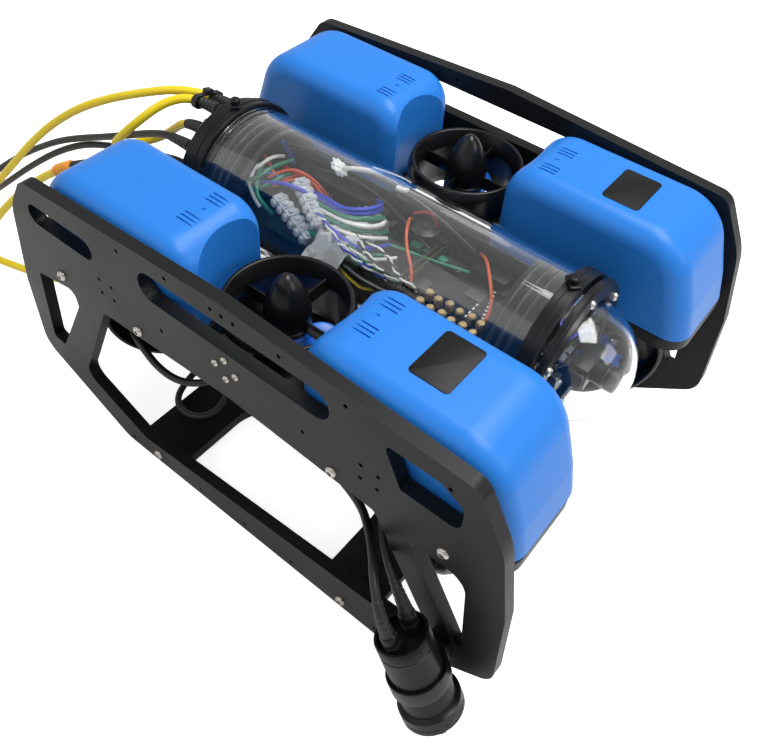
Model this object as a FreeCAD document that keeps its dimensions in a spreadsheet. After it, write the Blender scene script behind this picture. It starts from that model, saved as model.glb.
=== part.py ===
import FreeCAD
import Part
import Sketcher
import math
import os
from FreeCAD import Placement, Rotation, Vector

# Open-frame inspection ROV. X runs across the vehicle (port is +X), the bow is
# towards -Y, Z is up and the floor under the two side panels is Z = 0.

os.makedirs("parts", exist_ok=True)
doc = FreeCAD.newDocument("InspectionRov")
sheet = doc.addObject("Spreadsheet::Sheet", "Sizes")

sizeTable = [
    # frame
    ("frameWidth", 338), ("panelThick", 10), ("panelChamfer", 1),
    ("noseReach", 232), ("tailReach", 241), ("panelHeight", 266), ("footReach", 145),
    ("beltTop", 175), ("beltDrop", 8), ("legRake", 60), ("barLow", 22), ("barHigh", 42),
    ("screwBore", 2.75), ("smallBore", 1.7), ("screwOuterY", 180.5), ("screwInnerY", 92.5),
    ("footScrewY", 103.7), ("footHoleRise", 8), ("sideHoleShare", "=197 / 266"),
    ("accessoryShare", "=199 / 266"), ("accessoryY", 122), ("footPlateTop", 15), ("footPlateThick", 10),
    ("footPlateReach", 130), ("footPocketReach", 78), ("footPocketEdge", 62), ("footPocketRound", 38),
    ("deckTop", 181.5), ("deckThick", 10), ("deckInboard", 73.5), ("deckStart", 53), ("deckEnd", 220),
    ("deckRound", 20), ("gasketThick", 1.2), ("fairingTop", 262), ("fairingGap", 1.5),
    ("fairingEndRound", 27), ("fairingNoseRound", 40), ("fairingEdgeRound", 17),
    ("scoopBore", 60), ("ventWide", 1.4), ("ventLong", 17), ("ventDeep", 1.2), ("ventStart", 66),
    ("ventPitch", 4), ("ventOffset", 13.3), ("screwRadius", 2.4), ("screwHead", 4.5), ("headTall", 2.6),
    ("screwDepth", 12), ("tapBore", 2.5), ("smallScrew", 1.5), ("smallHead", 2.9), ("smallDepth", 6),
    # thrusters
    ("mountReach", 50.3), ("thrusterX", "=frameWidth / 2 - panelThick - mountReach"), ("mountDrop", 61),
    ("thrusterMountZ", "=panelHeight - mountDrop"), ("mountPitch", 19),
    ("vectorInset", 65), ("vectorX", "=frameWidth / 2 - vectorInset"), ("vectorY", 150),
    ("ductOuter", 48.5), ("ductThroat", 38.6), ("ductLip", 44.5), ("ductTop", 20), ("ductBottom", 32),
    ("hubRadius", 17), ("bulletTip", 44), ("statorThick", 2.4), ("shaftRadius", 2.5), ("shaftFit", 0.25),
    ("propRadius", 37.6), ("propGap", 1.2), ("noseTip", 60), ("bladeChord", 24), ("bladeThick", 3.2),
    # pressure tubes
    ("tubeZ", 198), ("tubeOuter", 57.15), ("tubeInner", 50.8), ("tubeHalf", 147),
    ("flangeDepth", 28), ("collarRadius", 61), ("collarLong", 13), ("flangeBore", 38), ("tubeFit", 0.1),
    ("domeRadius", 45), ("domeWall", 3), ("domeFlangeRadius", 54), ("domeFlangeThick", 3), ("ringLong", 6),
    ("capThick", 9), ("capRadius", 58),
    ("penetratorRadius", 7.2), ("penetratorLong", 10),
    ("batteryZ", 88), ("batteryOuter", 44.45), ("batteryInner", 41.3), ("batteryHalf", 105), ("batteryCap", 12),
    ("packWide", 64), ("packTall", 48), ("packHalf", 90),
    ("saddleFit", 0.3), ("yokeThick", 12), ("yokeY", 72), ("yokeReach", 96), ("yokeFoot", 54), ("yokeBottom", 36),
    # inside the clear tube
    ("trayDrop", 12), ("trayThick", 3), ("trayWide", 92), ("boardThick", 1.6), ("boardRise", 7),
    ("pivotStandoff", 18), ("pivotReach", "=tubeHalf + collarLong + pivotStandoff"), ("pivotRadius", 2),
    ("pivotFit", 0.05), ("earGap", 15), ("earThick", 3),
    ("cameraHalf", 14.5), ("cameraBack", 7), ("cameraTall", 10), ("barrelRadius", 9), ("barrelReach", 25),
    # lamp
    ("lampStandoff", 27), ("lampX", "=0 - frameWidth / 2 - lampStandoff"), ("lampY", -209), ("lampZ", 37),
    ("lampTilt", 26), ("lampRadius", 19),
    ("lampRingRadius", 22.5), ("lampRingLong", 12), ("lampLong", 76), ("lampNutRadius", 7), ("lampNutLong", 11),
    ("lampNutPitch", 20), ("lampClampAt", 30), ("lampClampLong", 12), ("lampClampWall", 3.5),
    # cables
    ("tetherRadius", 3.8), ("leadRadius", 3.3), ("thinRadius", 3), ("plugRadius", 5.5), ("plugLong", 32),
    ("coilRadius", 45.6), ("coilLayers", 3), ("coilColumns", 4), ("coilX", -198), ("coilY", 647),
    ("tieWall", 1.3), ("tieLong", 5), ("tieFit", 0.8), ("tieHalf", 14.8), ("tieX", 8.6), ("tieY", 196.5),
    ("tieZ", 242.3), ("tieTilt", 15),
]
for row, (word, value) in enumerate(sizeTable, 1):
    sheet.set("A%d" % row, word)
    sheet.set("B%d" % row, str(value))
    sheet.setAlias("B%d" % row, word)
doc.recompute()

nodes = []


def size(word):
    return float(getattr(sheet, word))


def expr(text):
    """Words of the sheet in a formula, written out for an expression."""
    result = ""
    word = ""
    for letter in text + " ":
        if letter.isalpha():
            word += letter
            continue
        if word:
            result += word if word in ("sqrt", "cos", "sin", "tan") else "Sizes." + word
            word = ""
        result += letter
    return result.strip()


def number(text):
    return float(sheet.evalExpression(expr(text)))


def node(item, label):
    item.Label = label
    nodes.append(item)
    return item


# ---- bodies -----------------------------------------------------------------

def newBody(name):
    return doc.addObject("PartDesign::Body", name)


def newSketch(body, plane, offset=None):
    sketch = body.newObject("Sketcher::SketchObject", "Sketch")
    origin = [item for item in body.Origin.OriginFeatures if item.Role == plane][0]
    sketch.AttachmentSupport = [(origin, "")]
    sketch.MapMode = "FlatFace"
    if offset:
        sketch.setExpression("AttachmentOffset.Base.z", expr(offset))
    return sketch


def pin(sketch, geometry, point, formula, axis):
    """Hold one coordinate of a point at a formula of the sheet."""
    value = number(formula)
    if abs(value) < 1e-9:
        line = -2 if axis == "DistanceX" else -1
        sketch.addConstraint(Sketcher.Constraint("PointOnObject", geometry, point, line))
        return
    index = sketch.addConstraint(Sketcher.Constraint(axis, -1, 1, geometry, point, value))
    sketch.setExpression("Constraints[%d]" % index, expr(formula))


def polygon(sketch, points):
    first = sketch.GeometryCount
    spots = [Vector(number(u), number(v), 0) for u, v in points]
    count = len(spots)
    for i in range(count):
        sketch.addGeometry(Part.LineSegment(spots[i], spots[(i + 1) % count]), False)
    for i in range(count):
        following = first + (i + 1) % count
        sketch.addConstraint(Sketcher.Constraint("Coincident", first + i, 2, following, 1))
    for i, (u, v) in enumerate(points):
        pin(sketch, first + i, 1, u, "DistanceX")
        pin(sketch, first + i, 1, v, "DistanceY")


def circle(sketch, u, v, radius):
    centre = Vector(number(u), number(v), 0)
    index = sketch.addGeometry(Part.Circle(centre, Vector(0, 0, 1), number(radius)), False)
    pin(sketch, index, 3, u, "DistanceX")
    pin(sketch, index, 3, v, "DistanceY")
    held = sketch.addConstraint(Sketcher.Constraint("Radius", index, number(radius)))
    sketch.setExpression("Constraints[%d]" % held, expr(radius))


def pad(body, sketch, length, back=False, both=False):
    feature = body.newObject("PartDesign::Pad", "Pad")
    feature.Profile = sketch
    feature.setExpression("Length", expr(length))
    feature.Reversed = back
    feature.Midplane = both
    doc.recompute()
    return feature


def pocket(body, sketch, length, back=False):
    before = body.Tip.Shape.Volume
    feature = body.newObject("PartDesign::Pocket", "Pocket")
    feature.Profile = sketch
    feature.setExpression("Length", expr(length))
    feature.Reversed = back
    doc.recompute()
    if feature.Shape.Volume > before - 0.001:
        raise ValueError("a pocket of %s cuts nothing" % body.Name)
    return feature


def revolve(body, points):
    sketch = newSketch(body, "XZ_Plane")
    polygon(sketch, points)
    feature = body.newObject("PartDesign::Revolution", "Revolution")
    feature.Profile = sketch
    feature.ReferenceAxis = (sketch, ["V_Axis"])
    feature.Angle = 360
    doc.recompute()
    return feature


across = {"XY_Plane": (0, 1, 2), "YZ_Plane": (1, 2, 0), "XZ_Plane": (0, 2, 1)}


def roundCorners(body, plane, radius, corners):
    """Fillet the edges that stand on the named corners of an outline."""
    first, second, along = across[plane]
    spots = [(number(u), number(v)) for u, v in corners]
    names = []
    for index, edge in enumerate(body.Tip.Shape.Edges, 1):
        start, end = edge.Vertexes[0].Point, edge.Vertexes[-1].Point
        if abs(start[along] - end[along]) < 0.5:
            continue
        for u, v in spots:
            gaps = [abs(point[first] - u) + abs(point[second] - v) for point in (start, end)]
            if max(gaps) < 0.02:
                names.append("Edge%d" % index)
    fillet(body, names, radius)


def fillet(body, names, radius):
    base = body.Tip
    feature = body.newObject("PartDesign::Fillet", "Fillet")
    feature.Base = (base, names)
    feature.setExpression("Radius", expr(radius))
    doc.recompute()
    return feature


def rimEdges(body, test):
    return ["Edge%d" % i for i, edge in enumerate(body.Tip.Shape.Edges, 1) if test(edge)]


def flip(points, sign):
    """The same outline, mirrored fore and aft when sign is -1."""
    return points if sign > 0 else [("0 - (%s)" % u, v) for u, v in points]


def primitive(kind, name, **sizes):
    item = doc.addObject("Part::" + kind, name)
    for prop, formula in sizes.items():
        item.setExpression(prop, expr(formula))
    return item


def place(item, x="0", y="0", z="0", rotation=None):
    if rotation:
        item.Placement = Placement(Vector(), rotation)
    item.setExpression("Placement.Base.x", expr(x))
    item.setExpression("Placement.Base.y", expr(y))
    item.setExpression("Placement.Base.z", expr(z))
    return item


def box(name, x, y, z, long, wide, tall):
    return place(primitive("Box", name, Length=long, Width=wide, Height=tall), x, y, z)


alongY = Rotation(Vector(1, 0, 0), -90)
alongX = Rotation(Vector(0, 1, 0), 90)


def rod(name, radius, length, x, y, z, rotation=None):
    return place(primitive("Cylinder", name, Radius=radius, Height=length), x, y, z, rotation)


def cut(name, base, tool):
    item = doc.addObject("Part::Cut", name)
    item.Base = base
    item.Tool = tool
    return item


def fuse(name, shapes):
    item = doc.addObject("Part::MultiFuse", name)
    item.Shapes = shapes
    item.Refine = True
    return item


# ---- frame ------------------------------------------------------------------

halfWide = "frameWidth / 2"
inside = "frameWidth / 2 - panelThick"


def sidePanel(label, side):
    """Boat-shaped side panel with three hand slots and the open lower frame."""
    body = newBody(label)
    face = "%d * (frameWidth / 2 - panelThick)" % side
    outline = newSketch(body, "YZ_Plane", face)
    low = [("0 - footReach", "0"), ("footReach", "0")]
    quarterTail = [("tailReach + 2", "56"), ("tailReach", "135"), ("tailReach - 15", "panelHeight - 44")]
    quarterNose = [("0 - noseReach - 2", "66"), ("0 - noseReach + 3", "150"),
                   ("0 - noseReach + 15", "panelHeight - 51")]
    tops = [("tailReach - 37", "panelHeight - 11"), ("0", "panelHeight + 1"),
            ("0 - noseReach + 38", "panelHeight - 9")]
    polygon(outline, low + quarterTail + tops + quarterNose[::-1])
    pad(body, outline, "panelThick", back=side < 0)
    roundCorners(body, "YZ_Plane", "22", [quarterTail[0], quarterNose[0]])
    roundCorners(body, "YZ_Plane", "14", [tops[0], tops[2]])
    roundCorners(body, "YZ_Plane", "60", [quarterTail[2], quarterNose[2]])
    roundCorners(body, "YZ_Plane", "25", low)

    rearSlot = [("130", "panelHeight - 27.5"), ("202", "panelHeight - 27.5"), ("202", "panelHeight - 46.5"),
                ("130", "panelHeight - 46.5")]
    midSlot = [("0 - 90", "panelHeight - 18"), ("80", "panelHeight - 18"), ("80", "panelHeight - 44"),
               ("0 - 90", "panelHeight - 44")]
    foreSlot = [("0 - 130", "panelHeight - 24"), ("0 - 170", "panelHeight - 24"),
                ("0 - 188", "panelHeight - 34"), ("0 - 188", "panelHeight - 57"), ("0 - 145", "panelHeight - 57")]
    rearEye = [("216", "158"), ("170", "167"), ("169", "150"), ("211", "75"), ("225", "76")]
    foreEye = [("0 - 155", "163"), ("0 - 199", "162"), ("0 - 207", "78"), ("0 - 201", "78")]
    window = [("134", "beltTop - beltDrop"), ("0", "beltTop"), ("0 - 128", "beltTop - beltDrop"),
              ("0 - 187", "legRake"), ("0 - 150", "barHigh + 3"), ("118", "barLow"), ("187", "legRake - 3")]
    openings = newSketch(body, "YZ_Plane", face)
    for shape in (rearSlot, midSlot, foreSlot, rearEye, foreEye, window):
        polygon(openings, shape)
    pocket(body, openings, "panelThick", back=side > 0)
    roundCorners(body, "YZ_Plane", "9.4", rearSlot)
    roundCorners(body, "YZ_Plane", "12.8", midSlot)
    roundCorners(body, "YZ_Plane", "8", [foreSlot[2], foreSlot[3], rearEye[1], rearEye[2]])
    roundCorners(body, "YZ_Plane", "4", [foreSlot[0], rearEye[0], rearEye[3], rearEye[4], foreEye[0]])
    roundCorners(body, "YZ_Plane", "16", [foreEye[1]])
    roundCorners(body, "YZ_Plane", "7", [window[0], window[2]])
    roundCorners(body, "YZ_Plane", "14", [window[3], window[6]])

    holes = newSketch(body, "YZ_Plane", face)
    for end in ("", "0 - "):
        circle(holes, end + "screwOuterY", "deckTop - deckThick / 2", "screwBore")
        circle(holes, end + "screwInnerY", "deckTop - deckThick / 2", "screwBore")
        circle(holes, end + "footScrewY", "footPlateTop - footPlateThick / 2", "screwBore")
    for u, v in (("mountPitch / 2", "0"), ("0 - mountPitch / 2", "0"), ("0", "mountPitch / 2"),
                 ("0", "0 - mountPitch / 2")):
        circle(holes, u, "thrusterMountZ + " + v, "smallBore")
    for y, drop in ((98, 15), (50, 10), (8, 9), (-2, 9), (-12, 9), (-50, 10), (-102, 14), (-177, 24)):
        circle(holes, "0 + (%d)" % y, "panelHeight - %d" % drop, "smallBore")
    for y in (64, -68):
        circle(holes, "0 + (%d)" % y, "panelHeight * sideHoleShare", "smallBore")
    for y in (136, 51, 0, -52, -137):
        circle(holes, "0 + (%d)" % y, "footHoleRise", "smallBore")
    for end in ("", "0 - "):
        for turn in (45, 135, 225, 315):
            along, up = math.cos(math.radians(turn)) / 2, math.sin(math.radians(turn)) / 2
            circle(holes, "%saccessoryY + %.4f * mountPitch" % (end, along),
                   "panelHeight * accessoryShare + %.4f * mountPitch" % up, "smallBore")
    pocket(body, holes, "panelThick", back=side > 0)
    return node(body, label)


def tapEdges(body, spots):
    """Blind tapped holes into both ends, or the one outboard end, of a plate between the panels."""
    for side, y, z in spots:
        taps = newSketch(body, "YZ_Plane", "%d * (%s)" % (side, inside))
        circle(taps, y, z, "tapBore")
        pocket(body, taps, "screwDepth", back=side < 0)


def footPlate():
    """H-shaped plate between the panels' feet, its long sides cut back in wide arcs."""
    body = newBody("bottom_plate")
    outline = newSketch(body, "XY_Plane", "footPlateTop - footPlateThick")
    polygon(outline, [("0 - (%s)" % inside, "0 - footPlateReach"), (inside, "0 - footPlateReach"),
                      (inside, "footPlateReach"), ("0 - (%s)" % inside, "footPlateReach")])
    pad(body, outline, "footPlateThick")
    sides = newSketch(body, "XY_Plane", "footPlateTop - footPlateThick")
    corners = []
    for side in ("", "0 - "):
        edge = side + "footPocketEdge"
        outer = "%s(%s)" % (side, inside)
        ring = [(edge, "0 - footPocketReach"), (edge, "footPocketReach"),
                (outer, "footPocketReach"), (outer, "0 - footPocketReach")]
        polygon(sides, ring)
        corners += ring[:2]
    pocket(body, sides, "footPlateThick", back=True)
    roundCorners(body, "XY_Plane", "footPocketRound", corners)
    level = "footPlateTop - footPlateThick / 2"
    tapEdges(body, [(side, end + "footScrewY", level) for side in (1, -1) for end in ("", "0 - ")])
    return node(body, "bottom_plate")


def deck(label, side, end):
    """Thruster deck under one fairing."""
    body = newBody(label)
    outline = newSketch(body, "XY_Plane", "deckTop - deckThick")
    inner = "%d * deckInboard" % side
    outer = "%d * (%s)" % (side, inside)
    corners = flip([("deckStart", inner), ("deckStart", outer), ("deckEnd", outer), ("deckEnd", inner)], end)
    corners = [(v, u) for u, v in corners]
    polygon(outline, corners)
    pad(body, outline, "deckThick")
    roundCorners(body, "XY_Plane", "deckRound", [corners[3]])
    roundCorners(body, "XY_Plane", "deckRound * 0.8", [corners[0], corners[2]])
    sign = "" if end > 0 else "0 - "
    tapEdges(body, [(side, sign + word, "deckTop - deckThick / 2") for word in ("screwOuterY", "screwInnerY")])
    return node(body, label)


def screw(head, tall, shank, length, x, y, z, side):
    """Button-head screw pointing inboard, its head on the outer face at x."""
    turn = alongX if side < 0 else Rotation(Vector(0, 1, 0), -90)
    outward = Rotation(Vector(0, 1, 0), -90 if side < 0 else 90)
    return [rod("ScrewHead", head, tall, x, y, z, outward), rod("ScrewShank", shank, length, x, y, z, turn)]


def panelScrews(label, side):
    pieces = []
    face = "%d * frameWidth / 2" % side
    reach = "panelThick + screwDepth - 1"
    for end in ("", "0 - "):
        for y, z in (("screwOuterY", "deckTop - deckThick / 2"), ("screwInnerY", "deckTop - deckThick / 2"),
                     ("footScrewY", "footPlateTop - footPlateThick / 2")):
            pieces += screw("screwHead", "headTall", "screwRadius", reach, face, end + y, z, side)
    for y, rise in (("mountPitch / 2", "0"), ("0 - mountPitch / 2", "0"), ("0", "mountPitch / 2"),
                    ("0", "0 - mountPitch / 2")):
        pieces += screw("smallHead", "headTall - 0.8", "smallScrew", "panelThick + smallDepth - 1", face, y,
                        "thrusterMountZ + " + rise, side)
    return node(fuse("Screws" + label, pieces), label)


def fairing(label, side, end):
    """Moulded buoyancy fairing: swept nose, soft edges and a scoop round the lift thruster."""
    body = newBody(label)
    inner = "%d * (deckInboard)" % side
    base = "deckTop + gasketThick"
    profile = flip([("deckStart - 3", base), ("deckStart - 3", "fairingTop"), ("deckEnd - 24", "fairingTop"),
                    ("deckEnd - 5", "deckTop + 24"), ("deckEnd", base)], end)
    sketch = newSketch(body, "YZ_Plane", inner)
    polygon(sketch, profile)
    pad(body, sketch, "frameWidth / 2 - panelThick - fairingGap - deckInboard", back=side < 0)
    roundCorners(body, "YZ_Plane", "fairingEndRound", [profile[1]])
    roundCorners(body, "YZ_Plane", "fairingNoseRound", [profile[2]])
    roundCorners(body, "YZ_Plane", "fairingNoseRound", [profile[3]])
    low = number(base)
    walls = (side * number("deckInboard"), side * number("frameWidth / 2 - panelThick - fairingGap"))

    def onWall(edge):
        spots = [vertex.Point for vertex in edge.Vertexes]
        if min(point.z for point in spots) < low + 0.01 and max(point.z for point in spots) < low + 0.01:
            return False
        return any(all(abs(point.x - wall) < 0.01 for point in spots) for wall in walls)

    fillet(body, rimEdges(body, onWall), "fairingEdgeRound")
    scoop = newSketch(body, "XY_Plane", "deckTop")
    circle(scoop, "%d * thrusterX" % side, "0", "scoopBore")
    pocket(body, scoop, "fairingTop", back=True)
    slots = newSketch(body, "XY_Plane", "fairingTop - ventDeep")
    for group in (-1, 1):
        for step in (-1, 0, 1):
            middle = "%d * thrusterX + %d * ventOffset + %d * ventPitch" % (side, group, step)
            near = "ventStart + 2"
            ring = [(near, "%s - ventWide / 2" % middle), (near + " + ventLong", "%s - ventWide / 2" % middle),
                    (near + " + ventLong", "%s + ventWide / 2" % middle), (near, "%s + ventWide / 2" % middle)]
            polygon(slots, [(v, u) for u, v in flip(ring, end)])
    pocket(body, slots, "2 * ventDeep", back=True)
    return node(body, label)


def gasket(side, end):
    body = newBody("Gasket")
    inner = "%d * (deckInboard + 1)" % side
    outer = "%d * (%s - 3)" % (side, inside)
    corners = flip([("deckStart + 9", inner), ("deckStart + 9", outer), ("deckEnd - 1", outer),
                    ("deckEnd - 1", inner)], end)
    corners = [(v, u) for u, v in corners]
    outline = newSketch(body, "XY_Plane", "deckTop")
    polygon(outline, corners)
    pad(body, outline, "gasketThick")
    roundCorners(body, "XY_Plane", "deckRound - 1", [corners[2], corners[3]])
    return body


def yoke(label, end):
    """Cross plate that carries the clear tube on its saddle and the battery tube in its ring."""
    body = newBody(label)
    sketch = newSketch(body, "XZ_Plane", "%d * (0 - yokeY) + 0" % end)
    under = "deckTop - deckThick"
    polygon(sketch, [("0 - yokeReach", under), ("0 - yokeReach", under + " - 16"),
                     ("0 - yokeFoot", "yokeBottom + 20"), ("0 - yokeFoot + 14", "yokeBottom"),
                     ("yokeFoot - 14", "yokeBottom"), ("yokeFoot", "yokeBottom + 20"),
                     ("yokeReach", under + " - 16"), ("yokeReach", under)])
    pad(body, sketch, "yokeThick", both=True)
    bores = newSketch(body, "XZ_Plane", "%d * (0 - yokeY) + yokeThick" % end)
    circle(bores, "0", "tubeZ", "tubeOuter + saddleFit")
    circle(bores, "0", "batteryZ", "batteryOuter + saddleFit")
    pocket(body, bores, "2 * yokeThick")
    return node(body, label)


# ---- pressure tubes ---------------------------------------------------------

def sleeve(name, outer, inner, start, length, z):
    wall = rod(name + "Outer", outer, length, "0", start, z, alongY)
    bore = rod(name + "Inner", inner, length, "0", start, z, alongY)
    return cut(name, wall, bore)


def turned(name, profile, y, z, forward):
    """A part turned about the tube's line; heights of the profile run aft, or forward."""
    body = newBody(name)
    revolve(body, profile)
    rotation = Rotation(Vector(1, 0, 0), 90 if forward else -90)
    place(body, "0", y, z, rotation)
    return node(body, name)


def mainTube():
    node(sleeve("main_tube", "tubeOuter", "tubeInner", "0 - tubeHalf", "2 * tubeHalf", "tubeZ"), "main_tube")
    plug = "tubeInner - tubeFit"
    for name, forward in (("front_flange", True), ("rear_flange", False)):
        seatY = "0 - tubeHalf" if forward else "tubeHalf"
        turned(name, [("flangeBore", "0 - flangeDepth"), (plug, "0 - flangeDepth"), (plug, "0"),
                      ("collarRadius", "0"), ("collarRadius", "collarLong"), ("flangeBore", "collarLong")],
               seatY, "tubeZ", forward)
    seat = "0 - tubeHalf - collarLong"
    domeBody = newBody("dome")
    sketch = newSketch(domeBody, "XZ_Plane")
    domeProfile(sketch)
    feature = domeBody.newObject("PartDesign::Revolution", "Revolution")
    feature.Profile = sketch
    feature.ReferenceAxis = (sketch, ["V_Axis"])
    feature.Angle = 360
    doc.recompute()
    place(domeBody, "0", seat, "tubeZ", Rotation(Vector(1, 0, 0), 90))
    node(domeBody, "dome")
    turned("dome_ring", [("domeRadius + 0.3", "0"), ("collarRadius - 1", "0"), ("collarRadius - 1", "ringLong - 2"),
                         ("collarRadius - 3", "ringLong"), ("domeRadius + 0.3", "ringLong")],
           seat + " - domeFlangeThick", "tubeZ", True)
    turned("rear_cap", [("0", "0"), ("capRadius", "0"), ("capRadius", "capThick - 2"),
                        ("capRadius - 2", "capThick"), ("0", "capThick")],
           "tubeHalf + collarLong", "tubeZ", False)


def domeProfile(sketch):
    """Half section of the dome: seat flange, short wall and hemisphere."""
    outer, wall = number("domeRadius"), number("domeWall")
    inner = outer - wall
    seat, rise = number("domeFlangeRadius"), number("domeFlangeThick")
    lift = rise + 3
    corner = math.sqrt(0.5)
    pieces = [
        Part.LineSegment(Vector(inner, 0, 0), Vector(seat, 0, 0)),
        Part.LineSegment(Vector(seat, 0, 0), Vector(seat, rise, 0)),
        Part.LineSegment(Vector(seat, rise, 0), Vector(outer, rise, 0)),
        Part.LineSegment(Vector(outer, rise, 0), Vector(outer, lift, 0)),
        Part.Arc(Vector(outer, lift, 0), Vector(outer * corner, lift + outer * corner, 0), Vector(0, lift + outer, 0)),
        Part.LineSegment(Vector(0, lift + outer, 0), Vector(0, lift + inner, 0)),
        Part.Arc(Vector(0, lift + inner, 0), Vector(inner * corner, lift + inner * corner, 0), Vector(inner, lift, 0)),
        Part.LineSegment(Vector(inner, lift, 0), Vector(inner, 0, 0)),
    ]
    for piece in pieces:
        sketch.addGeometry(piece, False)


# Places on the rear cap, across and up from the tube's line.
glandSpots = {
    "tether": (18, 42), "loopOut": (-14, 34), "loopBack": (2, 46), "blackUpper": (-32, 28),
    "blackLower": (-36, 8), "charge": (-42, -8), "thruster": (-22, -37), "lampLower": (-6, -38),
    "lampUpper": (14, -36), "battery": (-38, -24), "blankHigh": (36, 16), "blankLow": (34, -14),
    "blankMiddle": (6, 6),
}


def penetrators():
    """Cable glands on the rear cap, each a flange, a nut and a neck."""
    glands = []
    for x, rise in glandSpots.values():
        glands.append(rod("Gland", "penetratorRadius", "penetratorLong", "0 + (%d)" % x,
                          "tubeHalf + collarLong + capThick", "tubeZ + (%d)" % rise, alongY))
    return node(fuse("rear_penetrators", glands), "rear_penetrators")


batterySpots = {"charge": (12, -8), "battery": (-16, 12)}


def batteryTube():
    node(sleeve("battery_tube", "batteryOuter", "batteryInner", "0 - batteryHalf", "2 * batteryHalf", "batteryZ"),
         "battery_tube")
    plug = "batteryInner - tubeFit"
    for name, forward in (("battery_cap_front", True), ("battery_cap_rear", False)):
        turned(name, [("0", "0 - batteryCap"), (plug, "0 - batteryCap"), (plug, "0"), ("batteryOuter + 2", "0"),
                      ("batteryOuter + 2", "batteryCap - 2"), ("batteryOuter", "batteryCap"), ("0", "batteryCap")],
               "0 - batteryHalf" if forward else "batteryHalf", "batteryZ", forward)
    rearCap = nodes[-1]
    sockets = newSketch(rearCap, "XY_Plane", "batteryCap")
    for x, rise in batterySpots.values():
        circle(sockets, "0 + (%d)" % x, "0 - (%d)" % rise, "penetratorRadius")
    pad(rearCap, sockets, "penetratorLong")
    node(box("battery_pack", "0 - packWide / 2", "0 - packHalf",
             "batteryZ - sqrt(batteryInner * batteryInner - packWide * packWide / 4) + 0.2",
             "packWide", "2 * packHalf", "packTall"), "battery_pack")


def electronics():
    """Tray between the two flanges with its boards on pillars."""
    trayTop = "tubeZ - trayDrop"
    reach = "tubeHalf - flangeDepth"
    plate = box("TrayPlate", "0 - trayWide / 2", "0 - (%s)" % reach, trayTop + " - trayThick", "trayWide",
                "2 * (%s)" % reach, "trayThick")
    pillars = []
    for x in (-30, 30):
        for y in ("11 - (%s)" % reach, "85 - (%s)" % reach, "10", "84"):
            pillars.append(rod("Pillar", "2.5", "boardRise", str(x), y, trayTop))
    node(fuse("electronics_tray", [plate] + pillars), "electronics_tray")
    node(box("control_board", "0 - 37", "5 - (%s)" % reach, trayTop + " + boardRise", "74", "86", "boardThick"),
         "control_board")
    node(box("power_board", "0 - 36", "4", trayTop + " + boardRise", "72", "86", "boardThick"), "power_board")
    node(box("terminal_blocks", "0 - 24", "12", trayTop + " + boardRise + boardThick", "48", "30", "14"),
         "terminal_blocks")


def cameraMount():
    """Forked bracket across the flange's bore and the camera that tilts between its ears."""
    seat = "0 - tubeHalf - collarLong"
    bar = box("BracketBar", "0 - 41", seat + " - 3", "tubeZ - 7", "82", "3", "14")
    parts = [bar]
    for side in (-1, 1):
        start = "earGap" if side > 0 else "0 - earGap - earThick"
        parts.append(box("Ear", start, "0 - pivotReach - 6", "tubeZ - 7", "earThick",
                         "pivotReach + 6 - tubeHalf - collarLong", "14"))
    bore = rod("PivotBore", "pivotRadius + pivotFit", "80", "0 - 40", "0 - pivotReach", "tubeZ", alongX)
    node(cut("camera_bracket", fuse("BracketSolid", parts), bore), "camera_bracket")
    case = box("CameraCase", "0 - cameraHalf", "0 - pivotReach - cameraBack", "tubeZ - cameraTall",
               "2 * cameraHalf", "2 * cameraBack", "2 * cameraTall")
    barrel = rod("Barrel", "barrelRadius", "barrelReach", "0", "0 - pivotReach", "tubeZ",
                 Rotation(Vector(1, 0, 0), 90))
    pins = rod("PivotPins", "pivotRadius", "2 * (earGap + earThick + 1)", "0 - earGap - earThick - 1",
               "0 - pivotReach", "tubeZ", alongX)
    node(fuse("camera", [case, barrel, pins]), "camera")


# ---- thrusters --------------------------------------------------------------

def ogive(radius, start, length, steps=5):
    """Points of a pointed nose of the given base radius, from its base to its tip."""
    points = []
    for step in range(steps + 1):
        share = step / steps
        width = math.sqrt(1 - share ** 1.7)
        points.append(("%s * %.4f" % (radius, width), "%s + (%s) * %.4f" % (start, length, share)))
    points[-1] = ("0", "%s + (%s)" % (start, length))
    return points


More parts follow.
